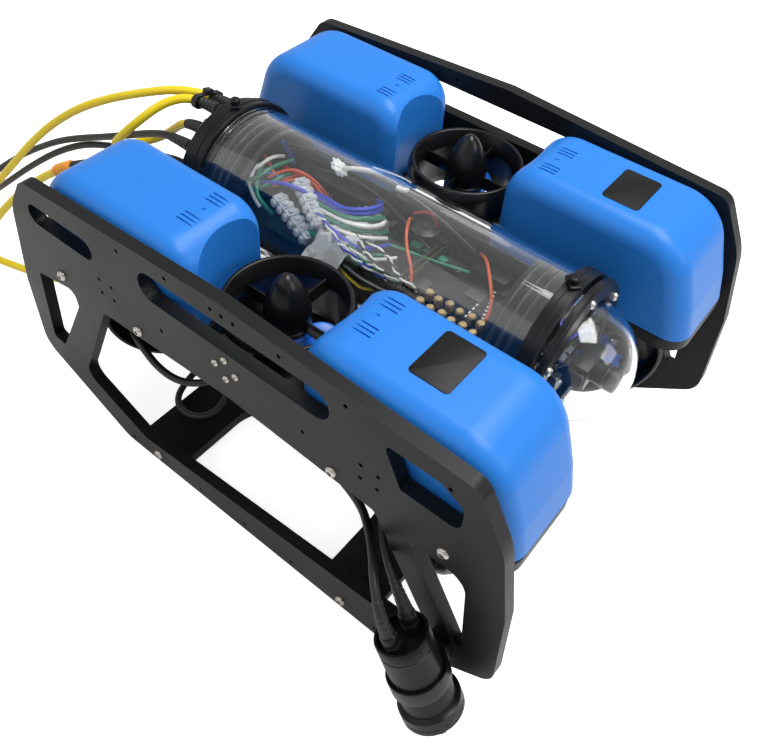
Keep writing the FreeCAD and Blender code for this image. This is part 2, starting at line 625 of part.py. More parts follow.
def duct(label):
    """Nozzle with its mounting foot, four stator vanes, the bullet and the motor shaft."""
    body = newBody(label)
    revolve(body, [("ductThroat", "0 - ductBottom + 8"), ("ductThroat + 2.5", "0 - ductBottom"),
                   ("ductThroat + 6", "0 - ductBottom"), ("ductOuter", "0 - 6"), ("ductOuter", "ductTop - 7"),
                   ("ductLip + 1.6", "ductTop"), ("ductLip - 1", "ductTop"), ("ductThroat", "ductTop - 12")])
    foot = newSketch(body, "XY_Plane", "0 - 14")
    polygon(foot, [("ductThroat + 4", "14"), ("mountReach", "14"), ("mountReach", "0 - 14"),
                   ("ductThroat + 4", "0 - 14")])
    pad(body, foot, "28")
    bullet = newSketch(body, "XZ_Plane")
    polygon(bullet, [("0", "0 - 3"), ("hubRadius", "0 - 3")]
            + ogive("hubRadius", "10", "bulletTip - 10"))
    feature = body.newObject("PartDesign::Revolution", "Revolution")
    feature.Profile = bullet
    feature.ReferenceAxis = (bullet, ["V_Axis"])
    feature.Angle = 360
    doc.recompute()
    vane = newSketch(body, "XY_Plane", "0 - 1")
    reach = "ductThroat + 1"
    polygon(vane, [("0 - (%s)" % reach, "statorThick / 2"), (reach, "statorThick / 2"),
                   (reach, "0 - statorThick / 2"), ("0 - (%s)" % reach, "0 - statorThick / 2")])
    pad(body, vane, "12")
    cross = newSketch(body, "XY_Plane", "0 - 1")
    polygon(cross, [("statorThick / 2", "0 - (%s)" % reach), ("statorThick / 2", reach),
                    ("0 - statorThick / 2", reach), ("0 - statorThick / 2", "0 - (%s)" % reach)])
    pad(body, cross, "12")
    shaft = newSketch(body, "XY_Plane", "0 - 3")
    circle(shaft, "0", "0", "shaftRadius")
    pad(body, shaft, "22", back=True)
    holes = newSketch(body, "YZ_Plane", "mountReach")
    for u, v in (("mountPitch / 2", "0"), ("0 - mountPitch / 2", "0"), ("0", "mountPitch / 2"),
                 ("0", "0 - mountPitch / 2")):
        circle(holes, u, v, "smallBore")
    pocket(body, holes, "smallDepth")
    return body


def bladeSection(radius, chord, thick, pitch):
    """Lens-shaped section across the blade at one radius, set at its pitch."""
    turn = math.radians(pitch)
    along = Vector(0, math.cos(turn), math.sin(turn))
    face = Vector(0, -math.sin(turn), math.cos(turn))
    middle = Vector(radius, 0, 0)
    back = Part.Arc(middle - along * chord / 2, middle + face * thick * 0.75, middle + along * chord / 2)
    front = Part.Arc(middle + along * chord / 2, middle - face * thick * 0.25, middle - along * chord / 2)
    return Part.Wire([back.toShape(), front.toShape()])


def propeller(label):
    """Three-bladed screw on a hub with a long nose, bored for the motor shaft."""
    hub, top = size("hubRadius"), -3 - size("propGap")
    tip = -size("noseTip")
    chord, thick = size("bladeChord"), size("bladeThick")
    reach = math.sqrt(size("propRadius") ** 2 - (chord * 0.45) ** 2)
    profile = [Vector(0, 0, top), Vector(hub, 0, top), Vector(hub, 0, top - 20)]
    for step in range(1, 6):
        share = step / 6
        profile.append(Vector(hub * math.sqrt(1 - share ** 1.7), 0, top - 20 + (tip - top + 20) * share))
    profile += [Vector(0, 0, tip), Vector(0, 0, top)]
    solid = Part.Face(Part.makePolygon(profile)).revolve(Vector(), Vector(0, 0, 1), 360)
    sections = [bladeSection(hub - 3, chord * 0.62, thick, 42), bladeSection((hub + reach) / 2, chord, thick * 0.8, 30),
                bladeSection(reach, chord * 0.9, thick * 0.45, 20)]
    blade = Part.makeLoft(sections, True, False)
    blade.translate(Vector(0, 0, top - 10))
    for turn in (0, 120, 240):
        copy = blade.copy()
        copy.rotate(Vector(), Vector(0, 0, 1), turn)
        solid = solid.fuse(copy)
    bore = Part.makeCylinder(size("shaftRadius") + size("shaftFit"), 23, Vector(0, 0, top - 22.5))
    item = doc.addObject("Part::Feature", label)
    item.Shape = solid.cut(bore)
    return item


def thruster(name, x, y, z, rotation):
    for part, label in ((duct("Duct"), "thruster_" + name), (propeller("Screw"), "prop_" + name)):
        place(part, x, y, z, rotation)
        node(part, label)


def thrusters():
    thruster("lift_port", "thrusterX", "0", "thrusterMountZ", Rotation())
    thruster("lift_starboard", "0 - thrusterX", "0", "thrusterMountZ", Rotation(Vector(0, 0, 1), 180))
    low = "deckTop - deckThick - mountReach"
    for side, sideName in ((1, "port"), (-1, "starboard")):
        for end, endName in ((1, "rear"), (-1, "front")):
            axis = Vector(side, -end, 0)
            turn = Rotation(Vector(0, 0, 1), Vector(), axis, "ZXY")
            thruster("%s_%s" % (endName, sideName), "%d * vectorX" % side, "%d * vectorY" % end, low, turn)


# ---- lamp -------------------------------------------------------------------

def lamp():
    """Dive lamp outside the starboard bow leg, in its clamp, with two cable glands."""
    tilt = Rotation(Vector(1, 0, 0), -size("lampTilt"))

    def seat(item, label):
        place(item, "lampX", "lampY", "lampZ", tilt)
        return node(item, label)

    body = newBody("lamp_body")
    recess = "lampRadius - 1.5"
    revolve(body, [("0", "5"), (recess, "5"), (recess, "0"), ("lampRingRadius", "0"),
                   ("lampRingRadius", "lampRingLong"), ("lampRadius", "lampRingLong + 1"),
                   ("lampRadius", "lampLong - 4"), ("lampRadius - 3", "lampLong"), ("0", "lampLong")])
    glands = newSketch(body, "XY_Plane", "lampLong")
    for side in ("", "0 - "):
        circle(glands, side + "lampNutPitch / 2", "0", "lampNutRadius")
    pad(body, glands, "lampNutLong")
    seat(body, "lamp_body")
    lens = newBody("lamp_window")
    glass = newSketch(lens, "XY_Plane", "1")
    circle(glass, "0", "0", recess + " - 0.1")
    pad(lens, glass, "3.9")
    seat(lens, "lamp_window")
    clamp = newBody("lamp_clamp")
    band = newSketch(clamp, "XY_Plane", "lampClampAt")
    circle(band, "0", "0", "lampRadius + lampClampWall")
    pad(clamp, band, "lampClampLong")
    foot = newSketch(clamp, "XY_Plane", "lampClampAt")
    reach = "0 - frameWidth / 2 - lampX"
    polygon(foot, [("lampRadius + 1", "9"), (reach, "9"), (reach, "0 - 9"), ("lampRadius + 1", "0 - 9")])
    pad(clamp, foot, "lampClampLong")
    bore = newSketch(clamp, "XY_Plane", "lampClampAt")
    circle(bore, "0", "0", "lampRadius + 0.05")
    pocket(clamp, bore, "lampClampLong", back=True)
    seat(clamp, "lamp_clamp")


# ---- cables -----------------------------------------------------------------

def route(points):
    """Straight runs joined by tangent arcs, each arc as large as its runs allow."""
    spots = [Vector(*point) for point in points]
    edges, radii = [], []
    start = spots[0]
    for before, corner, after in zip(spots, spots[1:], spots[2:]):
        come = (corner - before).normalize()
        leave = (after - corner).normalize()
        turn = come.getAngle(leave)
        setback = 0.45 * min((corner - before).Length, (after - corner).Length)
        radius = setback / math.tan(turn / 2)
        centre = corner + (leave - come).normalize() * (radius / math.cos(turn / 2))
        enter, exit = corner - come * setback, corner + leave * setback
        middle = centre + (corner - centre).normalize() * radius
        edges.append(Part.LineSegment(start, enter).toShape())
        edges.append(Part.Arc(enter, middle, exit).toShape())
        radii.append(radius)
        start = exit
    edges.append(Part.LineSegment(start, spots[-1]).toShape())
    return Part.Wire(edges), radii


def cable(label, radiusWord, points):
    radius = size(radiusWord)
    path, radii = route(points)
    heading = (Vector(*points[1]) - Vector(*points[0])).normalize()
    section = Part.Wire(Part.Circle(Vector(*points[0]), heading, radius).toShape())
    solid = path.makePipeShell([section], True, False)
    share = solid.Volume / (math.pi * radius ** 2 * path.Length)
    print("%s length %.0f tightest %.1f diameters volume share %.4f"
          % (label, path.Length, min(radii) / (2 * radius), share))
    item = doc.addObject("Part::Feature", label)
    item.Shape = solid
    return node(item, label)


def rearGland(name):
    x, rise = glandSpots[name]
    face = size("tubeHalf") + size("collarLong") + size("capThick") + size("penetratorLong")
    return (x, face, size("tubeZ") + rise)


def batteryGland(name):
    x, rise = batterySpots[name]
    face = size("batteryHalf") + size("batteryCap") + size("penetratorLong")
    return (x, face, size("batteryZ") + rise)


def lampGland(side):
    reach = size("lampLong") + size("lampNutLong")
    tilt = math.radians(size("lampTilt"))
    return (size("lampX") + side * size("lampNutPitch") / 2, size("lampY") + reach * math.sin(tilt),
            size("lampZ") + reach * math.cos(tilt))


def cables():
    floor = size("tetherRadius")
    cable("tether", "tetherRadius", [
        rearGland("tether"), (18, 201, 240), (6, 232, 240), (-11, 266, 229), (-23, 298, 215),
        (-34, 332, 195), (-46, 364, 169), (-57, 394, 138), (-68, 420, 106), (-77, 448, 74), (-86, 480, 44),
        (-94, 512, 20), (-104, 542, 7), (-124, 567, floor), (-153, 580, floor), (-184, 584, floor)])
    cable("service_loop", "tetherRadius", [
        rearGland("loopBack"), (2, 195, 244), (-6, 210, 246.5), (-20, 222, 242), (-35, 232, 231),
        (-46, 246, 215), (-48, 262, 197), (-35, 272, 184), (-16, 266, 181), (-7, 248, 190), (-9, 228, 208),
        (-14, 200, 232), rearGland("loopOut")])
    cable("black_lead_upper", "leadRadius", [
        rearGland("blackUpper"), (-32, 203, 226), (-28, 234, 211), (-27, 268, 193), (-29, 304, 175),
        (-30, 342, 157), (-32, 380, 137), (-36, 416, 114), (-43, 450, 90), (-52, 484, 62), (-62, 514, 34),
        (-70, 542, 12), (-76, 570, 4), (-78, 597, 5.6)])
    cable("black_lead_lower", "leadRadius", [
        rearGland("blackLower"), (-36, 203, 206), (-26, 237, 184), (-18, 270, 167), (-21, 305, 161),
        (-31, 339, 152), (-42, 372, 133), (-53, 405, 107), (-62, 436, 80), (-65, 466, 54), (-62, 494, 32),
        (-54, 520, 12), (-42, 546, 4), (-26, 569, 5.6)])
    cable("charge_lead", "tetherRadius", [
        rearGland("charge"), (-42, 203, 190), (-58, 238, 192), (-71, 276, 182), (-80, 314, 160),
        (-89, 346, 134), (-99, 376, 104), (-109, 402, 72), (-119, 422, 42), (-134, 434, 18),
        (-159, 439, floor), (-190, 442, floor), (-212, 466, floor), (-212, 500, floor), (-190, 527, floor),
        (-157, 533, floor), (-128, 516, floor), (-118, 484, floor), (-115, 452, floor), (-109, 420, floor),
        (-100, 388, floor), (-91, 354, 6), (-78, 322, 18), (-62, 292, 36), (-44, 260, 56), (-24, 228, 72),
        (-3, 198, 81), (12, 158, 80), batteryGland("charge")])
    cable("thruster_lead", "thinRadius", [
        (-129, 159, 120.7), (-139, 148, 121.5), (-148, 134, 126), (-152, 118, 122), (-153, 100, 113),
        (-150, 81, 110), (-141, 64, 113), (-126, 54, 119), (-108, 54, 124), (-99, 67, 127), (-88, 86, 129),
        (-68, 104, 129), (-51, 120, 128.5), (-43, 142, 128), (-41, 164, 127), (-41, 188, 126),
        (-41, 211, 126), (-35.5, 223.5, 136.2), (-27.5, 223.5, 151), (-22, 211, 161), rearGland("thruster")])
    cable("lamp_lead_lower", "thinRadius", [
        lampGland(-1), (-206, -164.7, 127.8), (-195, -150, 140), (-180, -137, 140), (-166, -123, 134),
        (-152, -106, 128), (-146, -82, 131), (-144, -50, 142), (-143, -16, 150), (-143, 18, 152),
        (-138, 48, 148), (-124, 70, 143), (-104, 86, 141), (-84, 99, 139.5), (-64, 115, 138),
        (-46, 131, 136), (-31, 148, 131), (-24, 168, 126), (-23, 189, 124), (-23, 211, 124),
        (-18, 223.5, 134.5), (-11, 223.5, 149.7), (-6, 211, 160), rearGland("lampLower")])
    cable("lamp_lead_upper", "thinRadius", [
        lampGland(1), (-186, -164.7, 127.8), (-178, -149, 135), (-163, -132, 136), (-147, -120, 137),
        (-138, -104, 136), (-136, -76, 140), (-135, -44, 150), (-134, -10, 159), (-133, 24, 160),
        (-126, 52, 155), (-110, 78, 151), (-88, 92, 149), (-68, 107, 147.5), (-50, 123, 146),
        (-31, 136, 140), (-13, 150, 131), (-3, 168, 126), (-1, 189, 125), (-1, 211, 125),
        (3.4, 223.5, 135.6), (9.6, 223.5, 151.3), (14, 211, 162), rearGland("lampUpper")])
    cable("battery_lead", "thinRadius", [
        rearGland("battery"), (-38, 198, 174), (-39, 217, 170), (-41, 232, 157), (-43, 236, 139),
        (-45, 228, 121), (-46, 212, 106), (-47, 194, 94), (-49, 174, 82), (-53, 154, 69), (-60, 134, 55),
        (-71, 114, 43), (-87, 98, 32), (-106.5, 89.5, 26), (-124, 96, 24), (-131, 112.5, 24),
        (-124, 129, 24), (-107, 136, 25), (-88, 137, 29), (-70, 144, 34), (-57, 154, 50),
        (-44, 163, 66), (-31, 166, 83), (-19, 158, 97), (-16, 142, 100), batteryGland("battery")])
    coil = newBody("TetherCoil")
    inner = "coilRadius - coilColumns * tetherRadius"
    outer = "coilRadius + coilColumns * tetherRadius"
    tall = "coilLayers * 2 * tetherRadius"
    revolve(coil, [(inner, "0"), (outer, "0"), (outer, tall), (inner, tall)])
    node(place(coil, "coilX", "coilY", "0"), "tether_coil")
    tails = [plug((-78, 597, 5.6), (-2, 27, 1.6)), plug((-26, 569, 5.6), (16, 23, 1.6))]
    node(fuse("Plugs", tails), "lead_plugs")
    cableTie()


def plug(tail, heading):
    """Moulded connector that takes over where its lead ends."""
    item = primitive("Cylinder", "Plug", Radius="plugRadius", Height="plugLong")
    item.Placement = Placement(Vector(*tail), Rotation(Vector(0, 0, 1), Vector(*heading)))
    return item


def cableTie():
    """Band round the tether and the returning loop, just behind the cap."""
    body = newBody("cable_tie")
    rings = []
    for wall in (" + tieWall", ""):
        half = "tieHalf" + wall
        tall = "tetherRadius + tieFit" + wall
        rings.append([("0 - (%s)" % half, "0 - (%s)" % tall), (half, "0 - (%s)" % tall), (half, tall),
                      ("0 - (%s)" % half, tall)])
    band = newSketch(body, "XZ_Plane")
    polygon(band, rings[0])
    pad(body, band, "tieLong", back=True)
    hollow = newSketch(body, "XZ_Plane")
    polygon(hollow, rings[1])
    pocket(body, hollow, "tieLong")
    roundCorners(body, "XZ_Plane", "tetherRadius", rings[1])
    roundCorners(body, "XZ_Plane", "tetherRadius + tieWall", rings[0])
    place(body, "tieX", "tieY", "tieZ", Rotation(Vector(0, 1, 0), size("tieTilt")))
    node(body, "cable_tie")


# ---- assembly ---------------------------------------------------------------

for side, name in ((1, "port"), (-1, "starboard")):
    sidePanel("side_panel_" + name, side)
    panelScrews("panel_screws_" + name, side)
footPlate()
gaskets = []
for side, sideName in ((1, "port"), (-1, "starboard")):
    for end, endName in ((1, "rear"), (-1, "front")):
        ending = "%s_%s" % (endName, sideName)
        deck("deck_" + ending, side, end)
        gaskets.append(gasket(side, end))
        fairing("fairing_" + ending, side, end)
node(fuse("Gaskets", gaskets), "deck_gaskets")
yoke("yoke_front", -1)
yoke("yoke_rear", 1)
mainTube()
penetrators()
batteryTube()
electronics()
cameraMount()
thrusters()
lamp()
cables()

doc.recompute()
for item in doc.Objects:
    if "Invalid" in item.State or "Error" in item.State:
        holders = [holder.Label for holder in item.InList]
        raise ValueError("%s of %s failed: %s" % (item.Label, holders, item.State))
for item in nodes:
    if item.Shape.isNull() or not item.Shape.isValid():
        raise ValueError("%s has a bad shape" % item.Label)
for item in nodes:
    item.Shape.exportStep("parts/%s.step" % item.Label)
print(len(nodes), "nodes")
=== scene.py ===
import math
import random
import bmesh
import bpy
from mathutils import Matrix, Vector


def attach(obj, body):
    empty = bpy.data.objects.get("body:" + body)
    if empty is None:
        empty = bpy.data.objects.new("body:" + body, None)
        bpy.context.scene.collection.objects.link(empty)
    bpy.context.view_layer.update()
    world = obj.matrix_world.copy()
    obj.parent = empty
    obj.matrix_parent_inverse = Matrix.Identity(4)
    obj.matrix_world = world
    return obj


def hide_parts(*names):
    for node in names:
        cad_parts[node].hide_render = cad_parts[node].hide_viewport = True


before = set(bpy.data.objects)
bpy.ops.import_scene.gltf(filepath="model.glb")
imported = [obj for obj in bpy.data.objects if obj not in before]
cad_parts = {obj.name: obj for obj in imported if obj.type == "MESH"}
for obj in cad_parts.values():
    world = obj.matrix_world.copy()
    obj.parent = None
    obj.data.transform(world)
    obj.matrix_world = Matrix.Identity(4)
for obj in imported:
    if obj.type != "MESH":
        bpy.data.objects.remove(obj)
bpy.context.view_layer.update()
scene = bpy.context.scene
dice = random.Random(7)
finishes = {}


def aimCamera():
    # above and ahead of the starboard bow, looking down along the vehicle
    view = {"place": (-0.4034, -0.2889, 0.6397), "across": (0.62667, -0.77799, 0.04488),
            "ahead": (0.56076, 0.41019, -0.71923), "lens": 40.21, "shift": (0.0120, -0.0811)}
    data = bpy.data.cameras.new("view")
    data.lens = view["lens"]
    data.sensor_width = 36
    data.sensor_fit = "HORIZONTAL"
    data.shift_x, data.shift_y = view["shift"]
    data.clip_start = 0.01
    camera = bpy.data.objects.new("view", data)
    across = Vector(view["across"]).normalized()
    back = -Vector(view["ahead"]).normalized()
    up = back.cross(across)
    camera.matrix_world = Matrix.Translation(view["place"]) @ Matrix((across, up, back)).transposed().to_4x4()
    scene.collection.objects.link(camera)
    scene.camera = camera


def areaLight(name, place, size, power):
    data = bpy.data.lights.new(name, "AREA")
    data.shape = "RECTANGLE"
    data.size, data.size_y = size
    data.energy = power
    light = bpy.data.objects.new(name, data)
    light.location = place
    light.rotation_euler = (Vector((0, 0, 0.15)) - Vector(place)).to_track_quat("-Z", "Y").to_euler()
    scene.collection.objects.link(light)


def combine(nodes, links, operation, first, second):
    # a maths node between two sockets, or a socket and a number
    made = nodes.new("ShaderNodeMath")
    made.operation = operation
    for slot, value in enumerate((first, second)):
        if isinstance(value, (int, float)):
            made.inputs[slot].default_value = value
        else:
            links.new(value, made.inputs[slot])
    return made.outputs[0]


def setInputs(made, **values):
    for socket, value in values.items():
        made.inputs[socket.replace("_", " ")].default_value = value
    return made


def seenAsWhite(nodes, links):
    # 1 for the rays that show the backdrop itself or its image in glass, less in gloss
    glossShare = 0.25
    rays = nodes.new("ShaderNodeLightPath").outputs
    direct = combine(nodes, links, "MAXIMUM", rays["Is Camera Ray"], rays["Is Transmission Ray"])
    gloss = combine(nodes, links, "MULTIPLY", rays["Is Glossy Ray"], glossShare)
    return combine(nodes, links, "MAXIMUM", direct, gloss)


def lightStudio():
    lamps = {"overhead": ((0.35, -0.35, 1.7), (1.3, 0.8), 30), "window": ((-1.6, 0.9, 1.6), (2.0, 1.8), 7),
             "bow": ((0.4, -1.7, 1.1), (0.9, 0.7), 6)}
    room = {"fill": 0.40, "seen": 1.0}
    for name, (place, size, power) in lamps.items():
        areaLight(name, place, size, power)
    world = bpy.data.worlds.new("room")
    scene.world = world
    world.use_nodes = True
    nodes, links = world.node_tree.nodes, world.node_tree.links
    tone = nodes.new("ShaderNodeMix")
    tone.data_type = "FLOAT"
    tone.inputs["A"].default_value = room["fill"]
    tone.inputs["B"].default_value = room["seen"]
    links.new(seenAsWhite(nodes, links), tone.inputs["Factor"])
    links.new(tone.outputs["Result"], nodes["Background"].inputs["Strength"])
    nodes["Background"].inputs["Color"].default_value = (1, 1, 1, 1)
    scene.view_settings.view_transform = "Standard"


def layFloor():
    look = {"size": 9, "tone": 0.8, "glow": 0.8, "roughness": 0.7, "specular": 0.2}
    bpy.ops.mesh.primitive_plane_add(size=look["size"], location=(0, 0, 0))
    floor = bpy.context.object
    floor.name = "floor"
    material = bpy.data.materials.new("floorWhite")
    material.use_nodes = True
    nodes, links = material.node_tree.nodes, material.node_tree.links
    shader = setInputs(nodes["Principled BSDF"], Base_Color=(look["tone"],) * 3 + (1,),
                       Roughness=look["roughness"], Specular_IOR_Level=look["specular"],
                       Emission_Color=(1, 1, 1, 1))
    glow = combine(nodes, links, "MULTIPLY", seenAsWhite(nodes, links), look["glow"])
    links.new(glow, shader.inputs["Emission Strength"])
    floor.data.materials.append(material)


def effectGroup(name, inputs, outputs):
    tree = bpy.data.node_groups.new(name, "ShaderNodeTree")
    for label, value in inputs:
        tree.interface.new_socket(label, in_out="INPUT", socket_type="NodeSocketFloat").default_value = value
    for label, kind in outputs:
        tree.interface.new_socket(label, in_out="OUTPUT", socket_type=kind)
    return tree, tree.nodes.new("NodeGroupInput"), tree.nodes.new("NodeGroupOutput")


def mouldGrainGroup():
    # moulding texture: a slow drift, dust specks and a fine orange-peel normal
    tree, given, out = effectGroup("mouldGrain", [("Size", 1500), ("Depth", 0.12), ("Speck", 0.04)],
                                   [("Drift", "NodeSocketFloat"), ("Dust", "NodeSocketFloat"),
                                    ("Normal", "NodeSocketVector")])
    nodes, links = tree.nodes, tree.links
    place = nodes.new("ShaderNodeTexCoord")
    broad = setInputs(nodes.new("ShaderNodeTexNoise"), Scale=14, Detail=4)
    fine = setInputs(nodes.new("ShaderNodeTexNoise"), Detail=2)
    links.new(given.outputs["Size"], fine.inputs["Scale"])
    speck = setInputs(nodes.new("ShaderNodeTexVoronoi"), Scale=240)
    for texture in (broad, fine, speck):
        links.new(place.outputs["Object"], texture.inputs["Vector"])
    dust = combine(nodes, links, "LESS_THAN", speck.outputs["Distance"], given.outputs["Speck"])
    bump = setInputs(nodes.new("ShaderNodeBump"), Distance=0.0002)
    links.new(given.outputs["Depth"], bump.inputs["Strength"])
    links.new(fine.outputs["Fac"], bump.inputs["Height"])
    links.new(broad.outputs["Fac"], out.inputs["Drift"])
    links.new(dust, out.inputs["Dust"])
    links.new(bump.outputs["Normal"], out.inputs["Normal"])


def edgeWearAndHighlightGroup():
    # where an outer edge is made lighter in colour: partly rubbed wear, partly a painted edge highlight
    tree, given, out = effectGroup("edgeWearAndHighlight", [("Width", 0.0008)], [("WearAndHighlight", "NodeSocketFloat")])
    nodes, links = tree.nodes, tree.links
    soft = nodes.new("ShaderNodeBevel")
    soft.samples = 4
    links.new(given.outputs["Width"], soft.inputs["Radius"])
    alike = nodes.new("ShaderNodeVectorMath")
    alike.operation = "DOT_PRODUCT"
    links.new(soft.outputs["Normal"], alike.inputs[0])
    links.new(nodes.new("ShaderNodeNewGeometry").outputs["Normal"], alike.inputs[1])
    edge = setInputs(nodes.new("ShaderNodeMapRange"), From_Min=0.985, From_Max=0.85)
    links.new(alike.outputs["Value"], edge.inputs["Value"])
    links.new(edge.outputs["Result"], out.inputs["WearAndHighlight"])


def blendColor(links, nodes, first, second, share):
    mix = nodes.new("ShaderNodeMix")
    mix.data_type = "RGBA"
    for socket, value in (("A", first), ("B", second)):
        if isinstance(value, tuple):
            mix.inputs[socket].default_value = (*value, 1)
        else:
            links.new(value, mix.inputs[socket])
    links.new(share, mix.inputs["Factor"])
    return mix.outputs["Result"]


def finish(name, color, roughness=0.4, drift=0.12, edgeWearAndHighlightColor=None, dusty=0.0, depth=0.12, shade=0.85, **surface):
    # one surface: colour with slow shading and dust, roughness that drifts, and a lighter edge where asked
    # that is partly wear and partly a painted highlight
    dustColor = (0.5, 0.48, 0.45)
    material = bpy.data.materials.new(name)
    material.use_nodes = True
    nodes, links = material.node_tree.nodes, material.node_tree.links
    shader = setInputs(nodes["Principled BSDF"], IOR=1.49, **surface)
    grain = nodes.new("ShaderNodeGroup")
    grain.node_tree = bpy.data.node_groups["mouldGrain"]
    setInputs(grain, Depth=depth)
    rough = setInputs(nodes.new("ShaderNodeMapRange"), To_Min=max(0.0, roughness - drift),
                      To_Max=roughness + drift)
    links.new(grain.outputs["Drift"], rough.inputs["Value"])
    links.new(rough.outputs["Result"], shader.inputs["Roughness"])
    tint = blendColor(links, nodes, tuple(shade * part for part in color), color, grain.outputs["Drift"])
    if dusty:
        share = combine(nodes, links, "MULTIPLY", grain.outputs["Dust"], dusty)
        tint = blendColor(links, nodes, tint, dustColor, share)
    # the edge colour is partly wear and partly a painted edge highlight
    if edgeWearAndHighlightColor:
        edge = nodes.new("ShaderNodeGroup")
        edge.node_tree = bpy.data.node_groups["edgeWearAndHighlight"]
        tint = blendColor(links, nodes, tint, edgeWearAndHighlightColor, edge.outputs["WearAndHighlight"])
    links.new(tint, shader.inputs["Base Color"])
    links.new(grain.outputs["Normal"], shader.inputs["Normal"])
    finishes[name] = material


def mixFinishes():
    mouldGrainGroup()
    edgeWearAndHighlightGroup()
    clear = {"Transmission_Weight": 1.0, "depth": 0.0, "drift": 0.015, "shade": 1.0}
    # the lighter edge colours given below are partly wear and partly a painted edge highlight
    finish("frameBlack", (0.010, 0.0105, 0.011), 0.38, edgeWearAndHighlightColor=(0.035, 0.035, 0.037), dusty=0.08,
           Specular_IOR_Level=0.2)
    finish("fairingBlue", (0.020, 0.190, 0.64), 0.36, drift=0.05, depth=0.05, shade=0.96,
           Specular_IOR_Level=0.26)
    finish("anodised", (0.008, 0.008, 0.009), 0.30, edgeWearAndHighlightColor=(0.04, 0.04, 0.042), Specular_IOR_Level=0.22)
    finish("mouldedBlack", (0.006, 0.006, 0.007), 0.26, dusty=0.03, Specular_IOR_Level=0.34)
    finish("rubberBlack", (0.011, 0.011, 0.012), 0.45, dusty=0.05)
    finish("rubberGrey", (0.030, 0.035, 0.035), 0.5, dusty=0.05)
    finish("jacketYellow", (0.90, 0.68, 0.008), 0.36, drift=0.08, dusty=0.05)
    finish("propellerBlue", (0.015, 0.16, 0.70), 0.30)
    finish("steel", (0.60, 0.57, 0.52), 0.25, Metallic=1.0)
    finish("acrylic", (0.975, 0.99, 0.995), 0.02, **clear)
    finish("lampGlass", (0.90, 0.95, 0.92), 0.03, **clear)
    finish("circuitGreen", (0.006, 0.040, 0.022), 0.4, Specular_IOR_Level=0.3)
    finish("circuitBlack", (0.007, 0.007, 0.009), 0.4, Specular_IOR_Level=0.3)
    finish("trayBlack", (0.008, 0.008, 0.009), 0.5, edgeWearAndHighlightColor=(0.03, 0.03, 0.03), Specular_IOR_Level=0.25)
    finish("packWrap", (0.02, 0.05, 0.24), 0.3)
    finish("frosted", (0.72, 0.76, 0.80), 0.42, Transmission_Weight=0.45)
    finish("gluedWhite", (0.75, 0.76, 0.74), 0.3, Subsurface_Weight=0.1)
    finish("tapeGrey", (0.50, 0.51, 0.51), 0.42, depth=0.5)
    finish("chipGrey", (0.03, 0.03, 0.032), 0.35)
    finish("cream", (0.34, 0.25, 0.13), 0.3)
    finish("gold", (0.55, 0.42, 0.20), 0.35, Metallic=1.0)
    finish("connectorOrange", (0.85, 0.33, 0.03), 0.38)
    finish("badgeBlack", (0.006, 0.006, 0.006), 0.34, drift=0.05, Specular_IOR_Level=0.2)
    finish("glassDark", (0.004, 0.004, 0.006), 0.05, drift=0.02, depth=0.0)
    finish("tieBlack", (0.009, 0.009, 0.010), 0.4)
    insulation = {"Blue": (0.015, 0.05, 0.50), "Green": (0.006, 0.20, 0.11), "White": (0.78, 0.78, 0.75),
                  "Orange": (0.60, 0.09, 0.02), "Yellow": (0.75, 0.58, 0.03), "Black": (0.01, 0.01, 0.01),
                  "Red": (0.45, 0.02, 0.015)}
    for word, color in insulation.items():
        finish("wire" + word, color, 0.38)


def seat(place, axis, across=(0, 0, 1)):
    # a local frame in millimetres: Z along axis, X as near across as it can be
    z = Vector(axis).normalized()
    x = Vector(across) - z * z.dot(Vector(across))
    x = x.normalized() if x.length > 1e-6 else z.orthogonal().normalized()
    return Matrix.Translation(place) @ Matrix((x, z.cross(x), z)).transposed().to_4x4()


def lathe(form, profile, place=Matrix(), steps=96, closed=False):
    # a profile of radii and heights turned round the Z of a place; a point on the axis is one vertex
    rings = []
    for radius, height in profile:
        count = 1 if radius < 1e-6 else steps
        rings.append([form.verts.new(place @ Vector((radius * math.cos(2 * math.pi * k / steps),
                                                     radius * math.sin(2 * math.pi * k / steps), height)))
                      for k in range(count)])
    pairs = list(zip(rings, rings[1:])) + ([(rings[-1], rings[0])] if closed else [])
    for low, high in pairs:
        for k in range(steps):
            after = k + 1
            corners = [low[k % len(low)], low[after % len(low)], high[after % len(high)], high[k % len(high)]]
            corners = [corner for i, corner in enumerate(corners) if corner not in corners[:i]]
            if len(corners) > 2:
                form.faces.new(corners)


def slab(form, outline, low, high, place=Matrix()):
    # a flat outline raised from one height to another
    layers = [[form.verts.new(place @ Vector((x, y, z))) for x, y in outline] for z in (low, high)]
    form.faces.new(layers[0][::-1])
    form.faces.new(layers[1])
    for k in range(len(outline)):
        after = (k + 1) % len(outline)
        form.faces.new((layers[0][k], layers[0][after], layers[1][after], layers[1][k]))


def block(form, low, high, place=Matrix()):
    corners = [(low[0], low[1]), (high[0], low[1]), (high[0], high[1]), (low[0], high[1])]
    slab(form, corners, low[2], high[2], place)


def skin(form, rings, capped=True):
    # quads from ring to ring, and a face on each end
    for low, high in zip(rings, rings[1:]):
        for k in range(len(low)):
            after = (k + 1) % len(low)
            form.faces.new((low[k], low[after], high[after], high[k]))
    if capped:
        form.faces.new(rings[0][::-1])
        form.faces.new(rings[-1])


def ringOf(radius, count=24, turn=0.0):
    turns = [turn + 2 * math.pi * k / count for k in range(count)]
    return [(radius * math.cos(angle), radius * math.sin(angle)) for angle in turns]


